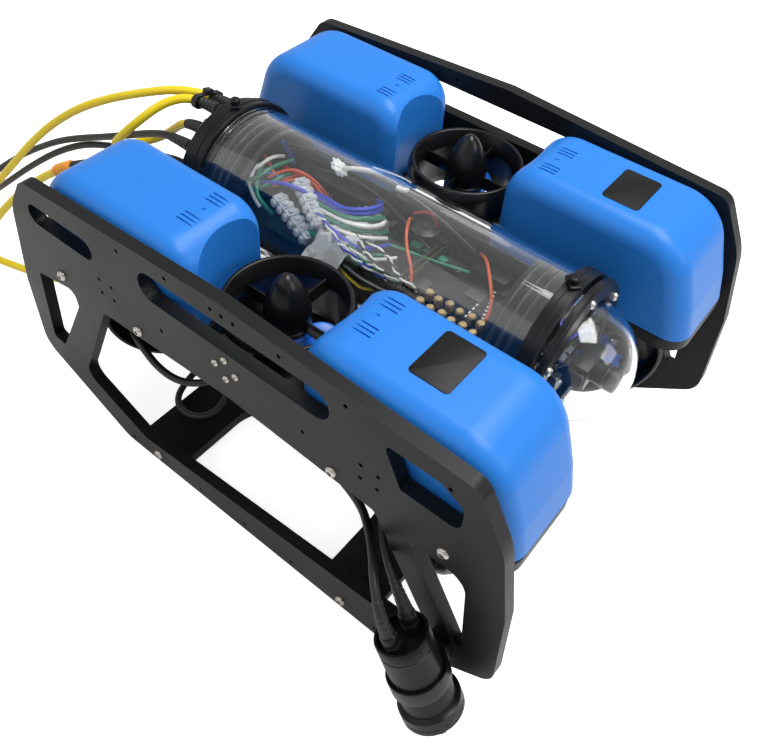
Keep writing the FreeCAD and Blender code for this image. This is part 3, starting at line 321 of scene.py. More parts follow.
def rounded(points, radii, steps=6):
    # an outline with each corner replaced by an arc of its own radius, on under half of either side
    mostOfSide, least = 0.49, 1e-4
    outline = []
    for i, point in enumerate(points):
        corner = Vector(point)
        before, after = Vector(points[i - 1]) - corner, Vector(points[(i + 1) % len(points)]) - corner
        radius = radii[i] if isinstance(radii, (list, tuple)) else radii
        half = before.angle(after) / 2
        setback = min(radius / math.tan(half), mostOfSide * before.length, mostOfSide * after.length)
        if setback < least:
            outline.append(tuple(corner))
            continue
        radius = setback * math.tan(half)
        middle = corner + (before.normalized() + after.normalized()).normalized() * (radius / math.sin(half))
        start = corner + before.normalized() * setback - middle
        turn = start.angle_signed(corner + after.normalized() * setback - middle)
        outline += [tuple(middle + Matrix.Rotation(-turn * k / steps, 2) @ start) for k in range(steps + 1)]
    return outline


def box(half, reach):
    # the four corners of a rectangle round the origin
    return [(-half, -reach), (half, -reach), (half, reach), (-half, reach)]


def soften(form, width, segments=2, angle=35):
    sharp = [edge for edge in form.edges
             if len(edge.link_faces) == 2 and edge.calc_face_angle(0) > math.radians(angle)]
    bmesh.ops.bevel(form, geom=sharp, offset=width, segments=segments, profile=0.6, affect="EDGES",
                    clamp_overlap=True)


def dress(name, form, material, body, stands, angle):
    # the form as an object with its finish, on its body
    mesh = bpy.data.meshes.new(name)
    form.to_mesh(mesh)
    form.free()
    item = bpy.data.objects.new(name, mesh)
    scene.collection.objects.link(item)
    mesh.materials.append(finishes[material])
    mesh.shade_smooth()
    mesh.set_sharp_from_angle(angle=math.radians(angle))
    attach(item, body)
    if stands:
        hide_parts(*stands)
    return item


def piece(name, material, make, body="chassis", slot=None, stands=(), place=Matrix(), soft=0, angle=35):
    # make(form) works in millimetres; place sets what it made on the vehicle
    form = bmesh.new()
    make(form)
    bmesh.ops.recalc_face_normals(form, faces=form.faces)
    if soft:
        soften(form, soft)
    form.transform(Matrix.Scale(0.001, 4) @ place)
    return dress(name, form, material, body, stands, angle)


def turned(name, material, profile, axis, steps=96, closed=False, **how):
    # a piece that is one profile turned round the Z of a local frame
    piece(name, material, lambda form: lathe(form, profile, axis, steps, closed), **how)


def refined(node, material, width):
    # the node's own solid with its edges broken, as machined parts have them
    clean = {"weld": 1e-6, "flat": 1, "segments": 2, "crease": 50, "sharp": 25}
    form = bmesh.new()
    form.from_mesh(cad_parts[node].data)
    bmesh.ops.remove_doubles(form, verts=form.verts, dist=clean["weld"])
    bmesh.ops.dissolve_limit(form, angle_limit=math.radians(clean["flat"]), verts=form.verts,
                             edges=form.edges)
    soften(form, width, clean["segments"], clean["crease"])
    item = dress(node + "_edged", form, material, "chassis", [node], clean["sharp"])
    item.modifiers.new("evenShading", "WEIGHTED_NORMAL").keep_sharp = True


def cable(name, points, radius, material):
    # one smooth line with the route's points, given in metres, as its control points
    data = bpy.data.curves.new(name, "CURVE")
    data.dimensions = "3D"
    line = data.splines.new("NURBS")
    line.points.add(len(points) - 1)
    for knot, point in zip(line.points, points):
        knot.co = (*point, 1)
        knot.radius = radius  # the bevel is one metre, so that this is the thickness
    line.order_u = 3
    line.use_endpoint_u = True
    line.resolution_u = 8
    data.bevel_depth = 1
    data.bevel_resolution = 5
    data.use_fill_caps = True
    item = bpy.data.objects.new(name, data)
    scene.collection.objects.link(item)
    data.materials.append(finishes[material])
    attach(item, "chassis")
    return item


def strand(name, points, radius, material):
    # a short wire, given in millimetres
    cable(name, [Vector(point) / 1000 for point in points], radius / 1000, material)


def layCables():
    # every cable with its jacket, how it ends and the points of its route in millimetres
    jackets = {"yellow": {"thick": 7.6, "finish": "jacketYellow", "slot": "tether_yellow"},
               "black": {"thick": 6.6, "finish": "rubberBlack", "slot": "lead_black"},
               "thin": {"thick": 6, "finish": "rubberBlack", "slot": "lead_black"},
               "grey": {"thick": 6, "finish": "rubberGrey", "slot": "lead_grey"}}
    floorTop = 3.8
    routes = {
        "tetherLine": ("yellow", ["tether", "tether_coil"], "connector", "medium", [(18, 179, 240),
            (18, 201, 240), (6, 232, 240), (-11, 266, 229), (-23, 298, 215), (-34, 332, 195), (-46, 364, 169),
            (-57, 394, 138), (-68, 420, 106), (-77, 448, 74), (-86, 480, 44), (-94, 512, 20), (-104, 542, 7),
            (-124, 567, floorTop), (-153, 580, floorTop), (-184, 584, floorTop)]),
        "serviceLoop": ("yellow", ["service_loop"], "object", "limp", [(2, 179, 244), (2, 195, 244),
            (-6, 210, 246.5), (-20, 222, 242), (-35, 232, 231), (-46, 246, 215), (-48, 262, 197),
            (-35, 272, 184), (-16, 266, 181), (-7, 248, 190), (-9, 228, 208), (-14, 200, 232),
            (-14, 179, 232)]),
        "blackLeadUpper": ("black", ["black_lead_upper"], "plug", "medium", [(-32, 179, 226), (-32, 203, 226),
            (-28, 234, 211), (-27, 268, 193), (-29, 304, 175), (-30, 342, 157), (-32, 380, 137),
            (-36, 416, 114), (-43, 450, 90), (-52, 484, 62), (-62, 514, 34), (-70, 542, 12), (-76, 570, 4),
            (-78, 597, 5.6)]),
        "blackLeadLower": ("black", ["black_lead_lower"], "plug", "medium", [(-36, 179, 206), (-36, 203, 206),
            (-26, 237, 184), (-18, 270, 167), (-21, 305, 161), (-31, 339, 152), (-42, 372, 133),
            (-53, 405, 107), (-62, 436, 80), (-65, 466, 54), (-62, 494, 32), (-54, 520, 12), (-42, 546, 4),
            (-26, 569, 5.6)]),
        "chargeLead": ("yellow", ["charge_lead"], "object", "medium", [(-42, 179, 190), (-42, 203, 190),
            (-58, 238, 192), (-71, 276, 182), (-80, 314, 160), (-89, 346, 134), (-99, 376, 104),
            (-109, 402, 72), (-119, 422, 42), (-134, 434, 18), (-159, 439, floorTop), (-190, 442, floorTop),
            (-212, 466, floorTop), (-212, 500, floorTop), (-190, 527, floorTop), (-157, 533, floorTop),
            (-128, 516, floorTop), (-118, 484, floorTop), (-115, 452, floorTop), (-109, 420, floorTop),
            (-100, 388, floorTop), (-91, 354, 6), (-78, 322, 18), (-62, 292, 36), (-44, 260, 56),
            (-24, 228, 72), (-3, 198, 81), (12, 158, 80), (12, 127, 80)]),
        "thrusterLead": ("thin", ["thruster_lead"], "object", "limp", [(-129, 159, 120.7), (-139, 148, 121.5),
            (-148, 134, 126), (-152, 118, 122), (-153, 100, 113), (-150, 81, 110), (-141, 64, 113),
            (-126, 54, 119), (-108, 54, 124), (-99, 67, 127), (-88, 86, 129), (-68, 104, 129),
            (-51, 120, 128.5), (-43, 142, 128), (-41, 164, 127), (-41, 188, 126), (-41, 211, 126),
            (-35.5, 223.5, 136.2), (-27.5, 223.5, 151), (-22, 211, 161), (-22, 179, 161)]),
        "lampLeadLower": ("thin", ["lamp_lead_lower"], "object", "limp", [(-206, -170.9, 115.2),
            (-206, -164.7, 127.8), (-195, -150, 140), (-180, -137, 140), (-166, -123, 134), (-152, -106, 128),
            (-146, -82, 131), (-144, -50, 142), (-143, -16, 150), (-143, 18, 152), (-138, 48, 148),
            (-124, 70, 143), (-104, 86, 141), (-84, 99, 139.5), (-64, 115, 138), (-46, 131, 136),
            (-31, 148, 131), (-24, 168, 126), (-23, 189, 124), (-23, 211, 124), (-18, 223.5, 134.5),
            (-11, 223.5, 149.7), (-6, 211, 160), (-6, 179, 160)]),
        "lampLeadUpper": ("thin", ["lamp_lead_upper"], "object", "limp", [(-186, -170.9, 115.2),
            (-186, -164.7, 127.8), (-178, -149, 135), (-163, -132, 136), (-147, -120, 137), (-138, -104, 136),
            (-136, -76, 140), (-135, -44, 150), (-134, -10, 159), (-133, 24, 160), (-126, 52, 155),
            (-110, 78, 151), (-88, 92, 149), (-68, 107, 147.5), (-50, 123, 146), (-31, 136, 140),
            (-13, 150, 131), (-3, 168, 126), (-1, 189, 125), (-1, 211, 125), (3.4, 223.5, 135.6),
            (9.6, 223.5, 151.3), (14, 211, 162), (14, 179, 162)]),
        "batteryLead": ("grey", ["battery_lead"], "object", "limp", [(-38, 179, 174), (-38, 198, 174),
            (-39, 217, 170), (-41, 232, 157), (-43, 236, 139), (-45, 228, 121), (-46, 212, 106),
            (-47, 194, 94), (-49, 174, 82), (-53, 154, 69), (-60, 134, 55), (-71, 114, 43), (-87, 98, 32),
            (-106.5, 89.5, 26), (-124, 96, 24), (-131, 112.5, 24), (-124, 129, 24), (-107, 136, 25),
            (-88, 137, 29), (-70, 144, 34), (-57, 154, 50), (-44, 163, 66), (-31, 166, 83), (-19, 158, 97),
            (-16, 142, 100), (-16, 127, 100)])
    }
    coil = {"middle": (-198, 647), "inner": 34.2, "pitch": 7.6, "columns": 4, "layers": 3, "turnPoints": 16,
            "crossing": 5, "climb": [(34.2, 20.5), (34.6, 23.5), (36, 27), (38.5, 28.8), (41.5, 28.6),
                                     (43.5, 28.4)]}
    tether = routes["tetherLine"][-1]
    joinX, joinY = tether[-1][:2]
    start = math.atan2(joinY - coil["middle"][1], joinX - coil["middle"][0])

    def onCoil(k, radius, height):
        turn = start - 2 * math.pi * k / coil["turnPoints"]
        x, y = coil["middle"]
        tether.append((x + radius * math.cos(turn), y + radius * math.sin(turn), height))

    # outermost turn first on the floor, then in and out again layer by layer, each crossing to the next
    turns = []
    for layer in range(coil["layers"]):
        for column in range(coil["columns"]):
            step = coil["columns"] - 1 - column if layer % 2 == 0 else column
            turns.append((coil["inner"] + coil["pitch"] * step, floorTop + coil["pitch"] * layer))
    for (radius, height), (nextRadius, nextHeight) in zip(turns, turns[1:] + turns[-1:]):
        for k in range(coil["turnPoints"]):
            share = max(0.0, (k - coil["turnPoints"] + coil["crossing"]) / coil["crossing"])
            onCoil(k, radius + (nextRadius - radius) * share, height + (nextHeight - height) * share)
    # the end climbs onto the finished coil and lies there
    for k, (radius, height) in enumerate(coil["climb"]):
        onCoil(k, radius, height)
    made = {}
    for name, (jacket, stands, end, stiff, route) in routes.items():
        facts = dict(jackets[jacket], end=end, stiff=stiff)
        points = [Vector(point) / 1000 for point in route]
        line = cable(name, points, facts["thick"] / 2000, facts["finish"])
        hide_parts(*stands)
        made[name] = (line, points, facts)
    return made


def readLine(item):
    # the points that a cable's own spline runs through
    item.data.bevel_depth = 0
    bpy.context.view_layer.update()
    mesh = bpy.data.meshes.new_from_object(item.evaluated_get(bpy.context.evaluated_depsgraph_get()))
    item.data.bevel_depth = 1
    return [vertex.co.copy() for vertex in mesh.vertices]


def stretch(line, start, end):
    # points a millimetre apart along a line, between two distances from its beginning
    made, gone = [], 0.0
    for a, b in zip(line, line[1:]):
        span = (b - a).length
        first = math.ceil(max(start, gone))
        for step in range(first, math.floor(min(end, gone + span)) + 1):
            made.append(a.lerp(b, (step - gone) / span))
        gone += span
    return made


def sleeve(form, run, widths, sides=24):
    # a round skin along a run, with a width of its own at each point
    rings = []
    across = (run[1] - run[0]).orthogonal().normalized()
    for k, point in enumerate(run):
        along = (run[min(k + 1, len(run) - 1)] - run[max(k - 1, 0)]).normalized()
        across = (across - along * along.dot(across)).normalized()
        other = along.cross(across)
        rings.append([form.verts.new(point + (across * math.cos(turn) + other * math.sin(turn)) * widths[k])
                      for turn in (2 * math.pi * j / sides for j in range(sides))])
    skin(form, rings)


def declareCables(made, endings):
    for name, (line, points, facts) in made.items():
        path = readLine(line)


def buildFrame():
    frameLook = {"panelEdge": 0.0010, "plateEdge": 0.0007}
    for side in ("port", "starboard"):
        refined("side_panel_" + side, "frameBlack", frameLook["panelEdge"])
    for node in ("bottom_plate", "yoke_front", "yoke_rear", "deck_front_port", "deck_front_starboard",
                 "deck_rear_port", "deck_rear_starboard"):
        refined(node, "frameBlack", frameLook["plateEdge"])
    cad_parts["deck_gaskets"].data.materials.clear()
    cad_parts["deck_gaskets"].data.materials.append(finishes["rubberBlack"])


def socketScrew(form, place, head, tall, key):
    # button head with a hexagon socket; its Z leaves the surface it sits on
    sides, hexedFrom = 24, 5
    rings = []
    for level, (radius, height) in enumerate((
            (head, -0.3), (head, 0.25 * tall), (0.93 * head, 0.55 * tall), (0.78 * head, 0.82 * tall),
            (0.6 * head, tall), (key, tall), (key, 0.35 * tall))):
        ring = []
        for k in range(sides):
            turn = 2 * math.pi * k / sides
            reach = radius
            if level >= hexedFrom:
                reach *= math.cos(math.pi / 6) / math.cos((turn % (math.pi / 3)) - math.pi / 6)
            spot = Vector((reach * math.cos(turn), reach * math.sin(turn), height))
            ring.append(form.verts.new(place @ spot))
        rings.append(ring)
    skin(form, rings)


def screwCircle(form, place, circle, head, axis=(0, 0, 1)):
    # screws spaced evenly round the Z of a place: how many, the first one's angle, radius and height
    count, first, radius, height = circle
    for k in range(count):
        turn = math.radians(first + 360 / count * k)
        spot = place @ Vector((radius * math.cos(turn), radius * math.sin(turn), height))
        socketScrew(form, seat(spot, place.to_3x3() @ Vector(axis)), *head)


def fitScrews():
    screws = {"face": 169, "big": (4.5, 2.6, 1.9), "small": (2.9, 1.8, 1.25),
              "bigSpots": [(180.5, 176.5), (-180.5, 176.5), (92.5, 176.5), (-92.5, 176.5), (103.7, 10),
                           (-103.7, 10)],
              "smallSpots": [(9.5, 205), (-9.5, 205), (0, 214.5), (0, 195.5)]}
    for side, name in ((1, "port"), (-1, "starboard")):
        def make(form):
            for size in ("big", "small"):
                for y, z in screws[size + "Spots"]:
                    socketScrew(form, seat((side * screws["face"], y, z), (side, 0, 0)), *screws[size])
        piece("panelScrews_" + name, "steel", make, slot="steel", stands=["panel_screws_" + name])


def fairingForm(form, outline, shell, place):
    # the side outline, drawn in along its normals as each long edge rolls over to a wall
    away = []
    for i in range(len(outline)):
        along = Vector(outline[min(i + 1, len(outline) - 1)]) - Vector(outline[max(i - 1, 0)])
        along.normalize()
        away.append(Vector((-along.y, along.x)))
    rows = []
    for wall, inward in ((shell["inner"], 1), (shell["outer"], -1)):
        half = []
        for k in range(shell["steps"] + 1):
            turn = math.radians(90 - 90 * k / shell["steps"])
            inset = shell["edgeRound"] * (1 - math.cos(turn))
            x = wall + inward * shell["edgeRound"] * (1 - math.sin(turn))
            ring = []
            for point, normal in zip(outline, away):
                spot = Vector(point) - normal * inset
                ring.append(form.verts.new(place @ Vector((x, spot.x, max(spot.y, shell["base"])))))
            for low in (0, -1):
                ring[low].co.z = shell["base"]
            half.append(ring)
        rows += half if inward > 0 else half[::-1]
    for near, far in zip(rows, rows[1:]):
        for k in range(len(outline) - 1):
            form.faces.new((near[k], near[k + 1], far[k + 1], far[k]))
    form.faces.new(rows[0])
    form.faces.new(rows[-1][::-1])
    form.faces.new([ring[0] for ring in rows] + [ring[-1] for ring in rows[::-1]])


def buildFairing(name, side, end):
    shell = {"inner": 73.5, "outer": 157.5, "base": 182.7, "top": 262, "start": 50, "finish": 220, "brow": 24,
             "nose": (5, 205.5), "endRound": 27, "noseRound": 40, "edgeRound": 17, "steps": 10, "scoop": 60,
             "scoopSteps": 128, "scoopCut": (150, 300), "lip": 1.3, "thrusterX": 108.7, "above": 3}
    vents = {"offset": 13.3, "pitch": 4, "wide": 1.4, "from": 68, "to": 85, "deep": 1.2, "dimple": 1.7,
             "dimpleDeep": 0.8}
    outline = rounded([(shell["start"], shell["base"]), (shell["start"], shell["top"]),
                       (shell["finish"] - shell["brow"], shell["top"]), (shell["finish"] - shell["nose"][0],
            shell["nose"][1]), (shell["finish"], shell["base"])], [0, shell["endRound"], shell["noseRound"],
            shell["noseRound"], 0], shell["steps"])
    place = Matrix.Diagonal((side, end, 1, 1))

    def carve(form):
        # the scoop round the lift thruster, two groups of vents and the dimple between them
        slab(form, ringOf(shell["scoop"], shell["scoopSteps"]), *shell["scoopCut"],
             Matrix.Translation((side * shell["thrusterX"], 0, 0)))
        over = shell["top"] + shell["above"]
        half = vents["wide"] / 2
        for group in (-1, 1):
            for step in (-1, 0, 1):
                x = shell["thrusterX"] + group * vents["offset"] + step * vents["pitch"]
                slot = rounded([(x - half, vents["from"]), (x + half, vents["from"]), (x + half, vents["to"]),
                                (x - half, vents["to"])], half * 0.95, 4)
                slab(form, slot, shell["top"] - vents["deep"], over, place)
        slab(form, ringOf(vents["dimple"], 20), shell["top"] - vents["dimpleDeep"], over,
             place @ Matrix.Translation((shell["thrusterX"], 0.5 * (vents["from"] + vents["to"]), 0)))

    item = piece("fairing_" + name, "fairingBlue", lambda form: fairingForm(form, outline, shell, place),
                 slot="fairing_blue", stands=["fairing_" + name])
    cutter = piece("cutter", "fairingBlue", carve)
    boolean = item.modifiers.new("carve", "BOOLEAN")
    boolean.operation = "DIFFERENCE"
    boolean.solver = "EXACT"
    boolean.object = cutter
    bpy.context.view_layer.update()
    carved = bpy.data.meshes.new_from_object(item.evaluated_get(bpy.context.evaluated_depsgraph_get()))
    item.modifiers.clear()
    bpy.data.objects.remove(cutter)
    form = bmesh.new()
    form.from_mesh(carved)
    # the scoop's edge on the skin gets a moulded lip
    rimLook = {"crease": 20, "near": 2e-5, "above": 0.1835, "sharp": 32}
    rim = []
    for edge in form.edges:
        if len(edge.link_faces) != 2 or edge.calc_face_angle(0) < math.radians(rimLook["crease"]):
            continue
        spots = [vertex.co for vertex in edge.verts]
        misses = [abs(math.hypot(spot.x - side * shell["thrusterX"] / 1000, spot.y) - shell["scoop"] / 1000)
                  for spot in spots]
        if max(misses) < rimLook["near"] and min(spot.z for spot in spots) > rimLook["above"]:
            rim.append(edge)
    bmesh.ops.bevel(form, geom=rim, offset=shell["lip"] / 1000, segments=3, profile=0.5, affect="EDGES",
                    clamp_overlap=True)
    form.to_mesh(item.data)
    form.free()
    item.data.shade_smooth()
    item.data.set_sharp_from_angle(angle=math.radians(rimLook["sharp"]))
    item.modifiers.new("evenShading", "WEIGHTED_NORMAL").keep_sharp = True


def buildFairings():
    for side, sideName in ((1, "port"), (-1, "starboard")):
        for end, endName in ((1, "rear"), (-1, "front")):
            buildFairing("%s_%s" % (endName, sideName), side, end)
    badge = {"wide": 42, "long": 29.5, "corner": 3.2, "sunk": -0.2, "thick": 0.5, "soft": 0.2, "z": 262,
             "spots": {"port": (114, -137), "starboard": (-110.5, -131)}}
    plate = rounded(box(badge["wide"] / 2, badge["long"] / 2), badge["corner"])
    for sideName, spot in badge["spots"].items():
        piece("blankBadge_" + sideName, "badgeBlack",
              lambda form: slab(form, plate, badge["sunk"], badge["thick"]), soft=badge["soft"],
              place=Matrix.Translation((*spot, badge["z"])))


def buildTube():
    tube = {"z": 198, "outer": 57.15, "inner": 50.8, "half": 147, "bore": 38, "plug": 50.6}
    outer, inner, half, plug = tube["outer"], tube["inner"], tube["half"], tube["plug"]
    aft = seat((0, 0, tube["z"]), (0, 1, 0), (1, 0, 0))
    ahead = seat((0, 0, tube["z"]), (0, -1, 0), (1, 0, 0))
    turned("clearTube", "acrylic", [(inner, -half + 0.4), (inner + 0.4, -half), (outer - 0.5, -half),
                                    (outer, -half + 0.5), (outer, half - 0.5), (outer - 0.5, half),
                                    (inner + 0.4, half), (inner, half - 0.4)], aft, 160, True,
           slot="clear_acrylic", stands=["main_tube"])
    for name, place, latchY in (("front", ahead, -152.5), ("rear", aft, 156)):
        grooves = []
        for start in (122, 129, 136):
            grooves += [(plug, start), (plug - 2.2, start + 0.1), (plug - 2.2, start + 3),
                        (plug, start + 3.1)]
        turned(name + "Flange", "anodised",
               [(tube["bore"], 119.4), (plug - 0.6, 119.2)] + grooves + [(plug, 146.9), (60.2, 147.2),
                (61, 148), (61, 152), (60, 152.4), (60, 154.4), (61, 154.8), (61, 159.2), (60.2, 160),
                (tube["bore"], 160)], place, 128, True, slot="anodised_black", stands=[name + "_flange"],
               angle=28)

        def seals(form):
            for start in (123.55, 130.55, 137.55):
                lathe(form, [(plug - 0.75 + 0.85 * x, start + 1.4 * y) for x, y in ringOf(1, 12)], place, 128,
                      True)
        piece(name + "Seals", "rubberGrey", seals)

        def latch(form):
            # post at the top of the collar, with its round head
            post = seat((0.5, latchY, 257), (0, 0, 1))
            lathe(form, [(0, 0), (2.6, 0), (2.6, 4.4), (4.1, 4.9), (4.1, 7.4), (3.2, 8.4), (0, 8.6)], post,
                  28)
            block(form, (-6.5, -3.6, 0), (6.5, 3.6, 4.2), post)
        piece(name + "CollarLatch", "anodised", latch, soft=0.5)
    closeTube(ahead, aft)


def closeTube(ahead, aft):
    dome = {"radius": 45, "wall": 3, "bore": 42, "seat": 54, "base": 160.05, "rim": 163, "centre": 166,
            "steps": 32}

    def crown(radius):
        # a quarter circle from the rim to the axis
        turns = [math.pi / 2 * k / dome["steps"] for k in range(dome["steps"])]
        return [(radius * math.cos(turn), dome["centre"] + radius * math.sin(turn)) for turn in turns] + [
            (0, dome["centre"] + radius)]

    def shell(form):
        foot = (dome["bore"], dome["base"])
        lathe(form, [foot, (dome["seat"], dome["base"]), (dome["seat"], dome["rim"]),
                     (dome["radius"], dome["rim"])] + crown(dome["radius"]), ahead, 128)
        lathe(form, [foot] + crown(dome["radius"] - dome["wall"]), ahead, 128)
        bmesh.ops.remove_doubles(form, verts=form.verts, dist=1e-3)
    piece("domeShell", "acrylic", shell, slot="clear_acrylic", stands=["dome"], angle=40)
    turned("domeRing", "anodised", [(45.3, 163), (59.4, 163), (60, 163.6), (60, 167), (58.4, 168.9),
                                    (46.2, 169), (45.3, 168.2)], ahead, 128, True, slot="anodised_black",
           stands=["dome_ring"], angle=25)
    piece("domeScrews", "steel", lambda form: screwCircle(form, ahead, (6, 30, 52.6, 168.9), (3.4, 2.4, 1.6)))
    turned("rearCap", "anodised", [(0, 160), (57.4, 160), (58, 160.6), (58, 167.2), (56.4, 168.9),
                                   (0, 168.9)], aft, 128, slot="anodised_black", stands=["rear_cap"],
           angle=25)
    piece("capScrews", "steel", lambda form: screwCircle(form, aft, (6, 8, 53, 168.9), (3.2, 2.4, 1.5)))


def glandPiece(form, place, boot):
    # flange, hexagon, neck and, for a live one, the soft collar its cable leaves by
    lathe(form, [(0, 0), (7.1, 0), (7.1, 2.2), (6.7, 2.6), (0, 2.6)], place, 40)
    slab(form, ringOf(6.6, 6, 0.3), 2.6, 6.6, place)
    end = [(4.3, 12.5), (0, 12.5)] if boot else [(0, 9.9)]
    lathe(form, [(0, 6.6), (5.4, 6.6), (5.2, 9.2), (4.6, 9.9)] + end, place, 32)


def fitGlands():
    cap = {"face": 169, "axis": 198, "blank": [(36, 16), (34, -14), (6, 6)], "cabled": [(18, 42), (-14, 34),
            (2, 46), (-32, 28), (-36, 8), (-42, -8), (-22, -37), (-6, -38), (14, -36), (-38, -24)]}

    def make(form):
        for kind in ("cabled", "blank"):
            for x, rise in cap[kind]:
                glandPiece(form, seat((x, cap["face"], cap["axis"] + rise), (0, 1, 0)), kind == "cabled")
    piece("rearGlands", "anodised", make, slot="anodised_black", stands=["rear_penetrators"], soft=0.25,
          angle=30)


def buildBattery():
    battery = {"z": 88, "outer": 44.45, "inner": 41.3, "half": 105, "capFace": 117}
    outer, inner, half = battery["outer"], battery["inner"], battery["half"]
    aft = seat((0, 0, battery["z"]), (0, 1, 0), (1, 0, 0))
    ahead = seat((0, 0, battery["z"]), (0, -1, 0), (1, 0, 0))
    turned("batteryShell", "anodised", [
        (inner, -half), (outer - 0.4, -half), (outer, -half + 0.4), (outer, half - 0.4), (outer - 0.4, half),
        (inner, half)], aft, closed=True, slot="battery_shell", stands=["battery_tube"], angle=30)
    for name, place in (("front", ahead), ("rear", aft)):
        turned(name + "BatteryCap", "anodised", [(0, 93), (41.2, 93), (41.2, 105), (45.9, 105.2),
                                                 (46.4, 105.8), (46.4, 109), (45.6, 109.4), (45.6, 110.8),
                                                 (46.4, 111.2), (46.4, 114.8), (44.6, 116.9), (0, 117)],
               place, slot="anodised_black", stands=["battery_cap_" + name], angle=25)
        piece(name + "BatteryScrews", "steel",
              lambda form: screwCircle(form, place, (6, 15, 38.5, 116.9), (2.8, 2.2, 1.3)))

    def glands(form):
        for x, rise in ((12, -8), (-16, 12)):
            glandPiece(form, seat((x, battery["capFace"], battery["z"] + rise), (0, 1, 0)), True)
    piece("batteryGlands", "anodised", glands, soft=0.25, angle=30)
    pack = {"across": (-21, 0, 21), "rises": (-11.5, 10), "starts": (-88, -29, 30), "long": 58,
            "radius": 10.4}

    def cells(form):
        # eighteen cells in their shrink wrap, three across, two high and three long
        wide, long = pack["radius"], pack["long"]
        for x in pack["across"]:
            for rise in pack["rises"]:
                for start in pack["starts"]:
                    lathe(form, [(0, start), (wide - 0.8, start), (wide, start + 1), (wide, start + long - 1),
                                 (wide - 0.8, start + long), (0, start + long)],
                          seat((x, 0, battery["z"] + rise), (0, 1, 0)), 24)
    piece("batteryCells", "packWrap", cells, slot="battery_wrap", stands=["battery_pack"])


def chipBox(form, x, y, z, wide, long, tall):
    block(form, (x - wide / 2, y - long / 2, z), (x + wide / 2, y + long / 2, z + tall))


def buildBoards(top):
    refined("electronics_tray", "trayBlack", 0.0004)
    refined("control_board", "circuitBlack", 0.0002)
    refined("power_board", "circuitGreen", 0.0002)
    chipSizes = [(10, -82, 15, 15, 1.6), (-8, -45, 12, 12, 1.4), (24, -50, 10, 18, 2.2), (26, -96, 8, 8, 1.4),
                 (12, -104, 6, 10, 1.2), (-25, 70, 14, 14, 2), (8, 76, 24, 16, 9), (-24, 50, 12, 9, 3),
                 (28, 20, 8, 22, 6), (30, 62, 7, 16, 8)]

    def chips(form):
        for x, y, wide, long, tall in chipSizes:
            chipBox(form, x, y, top, wide, long, tall)
        for k in range(14):
            chipBox(form, -33 + 4.9 * k, -112, top, 2.2, 1.2, 0.8)
            chipBox(form, 20 + dice.uniform(-10, 14), -110 + 5.4 * k, top, dice.choice((1, 1.6, 2.4)), 1.6,
                    0.7)
    piece("boardChips", "chipGrey", chips, soft=0.15)
    header = {"rows": (-33, -38), "half": 30, "tall": 8.5, "pitch": 2.54, "pins": 22}

    def headers(form):
        for y in header["rows"]:
            block(form, (-header["half"], y - 1.2, top), (header["half"], y + 1.2, top + header["tall"]))
        block(form, (33, -108, top), (36, -60, top + 8))
    piece("pinHeaders", "mouldedBlack", headers, soft=0.2)

    def pins(form):
        for k in range(header["pins"]):
            for y in header["rows"]:
                chipBox(form, -28 + header["pitch"] * k, y, top + 8.4, 0.6, 0.6, 3)
    piece("headerPins", "gold", pins)
    canSpots = [(-30 + row * 11 + (k % 2) * 1.5, -104 + k * 9.3, top) for k in range(6) for row in range(2)]

    def cans(form):
        for spot in canSpots:
            lean = Matrix.Rotation(dice.uniform(-0.12, 0.12), 4, "X")
            lathe(form, [(0, 0), (3.4, 0), (3.4, 7.4), (2.9, 8), (2.3, 7.7), (0, 7.7)],
                  Matrix.Translation(spot) @ lean, 20)
    piece("capacitors", "cream", cans, soft=0.1)

    def canTops(form):
        for spot in canSpots:
            lathe(form, [(0, 8.0), (2.4, 8.0), (2.4, 8.5), (0, 8.6)], Matrix.Translation(spot), 16)
    piece("capacitorTops", "gold", canTops)

    def pads(form):
        for k in range(9):
            chipBox(form, -12 + 4.1 * k, -100 + 1.2 * k, top, 1.7, 1.7, 0.35)
        for k in range(5):
            chipBox(form, -14 + 5 * k, -88, top, 2.6, 1.2, 0.4)
    piece("boardPads", "wireWhite", pads)


def buildTerminals(top):
    strip = {"first": -24, "pitch": 8, "ways": 6, "base": (12, 42, 0, 10), "crest": (18, 36, 10, 13.8),
             "screwRows": (15, 39)}

    def terminals(form):
        for way in range(strip["ways"]):
            start = strip["first"] + strip["pitch"] * way
            for part, gap in (("base", 0.3), ("crest", 1.2)):
                near, far, low, high = strip[part]
                block(form, (start + gap, near, top + low), (start + strip["pitch"] - gap, far, top + high))
    piece("terminalStrip", "frosted", terminals, slot="terminal_white", stands=["terminal_blocks"], soft=0.7)

    def screws(form):
        for way in range(strip["ways"]):
            for y in strip["screwRows"]:
                x = strip["first"] + strip["pitch"] * (way + 0.5)
                socketScrew(form, seat((x, y, top + 9.9), (0, 0, 1)), 2.1, 1.0, 1.0)
    piece("terminalScrews", "steel", screws)
    loose = {"ways": 6, "pitch": 8.2, "lying": [((-32, 63, 214), 75, -11), ((-19, 58, 223), 62, -10)]}

    def strips(form):
        # loose frosted terminal strips lying over the wires
        for spot, turn, tilt in loose["lying"]:
            place = Matrix.Translation(spot) @ Matrix.Rotation(math.radians(turn), 4, "Z") @ Matrix.Rotation(
                math.radians(tilt), 4, "Y")
            for k in range(loose["ways"]):
                start = (k - loose["ways"] / 2) * loose["pitch"]
                lathe(form, [(0, -7), (2.7, -7), (3.3, -6), (3.3, 6), (2.7, 7), (0, 7)],
                      place @ seat((start + 4, 0, -0.5), (0, 1, 0)), 20)
                block(form, (start + 0.2, -4.4, -4.4), (start + 7.9, 4.4, 3.4), place)
                lathe(form, [(0, 3.4), (2.3, 3.4), (2.1, 5), (0, 5)],
                      place @ Matrix.Translation((start + 4, 0, 0)), 18)
    piece("frostedStrips", "frosted", strips, soft=0.7, angle=30)


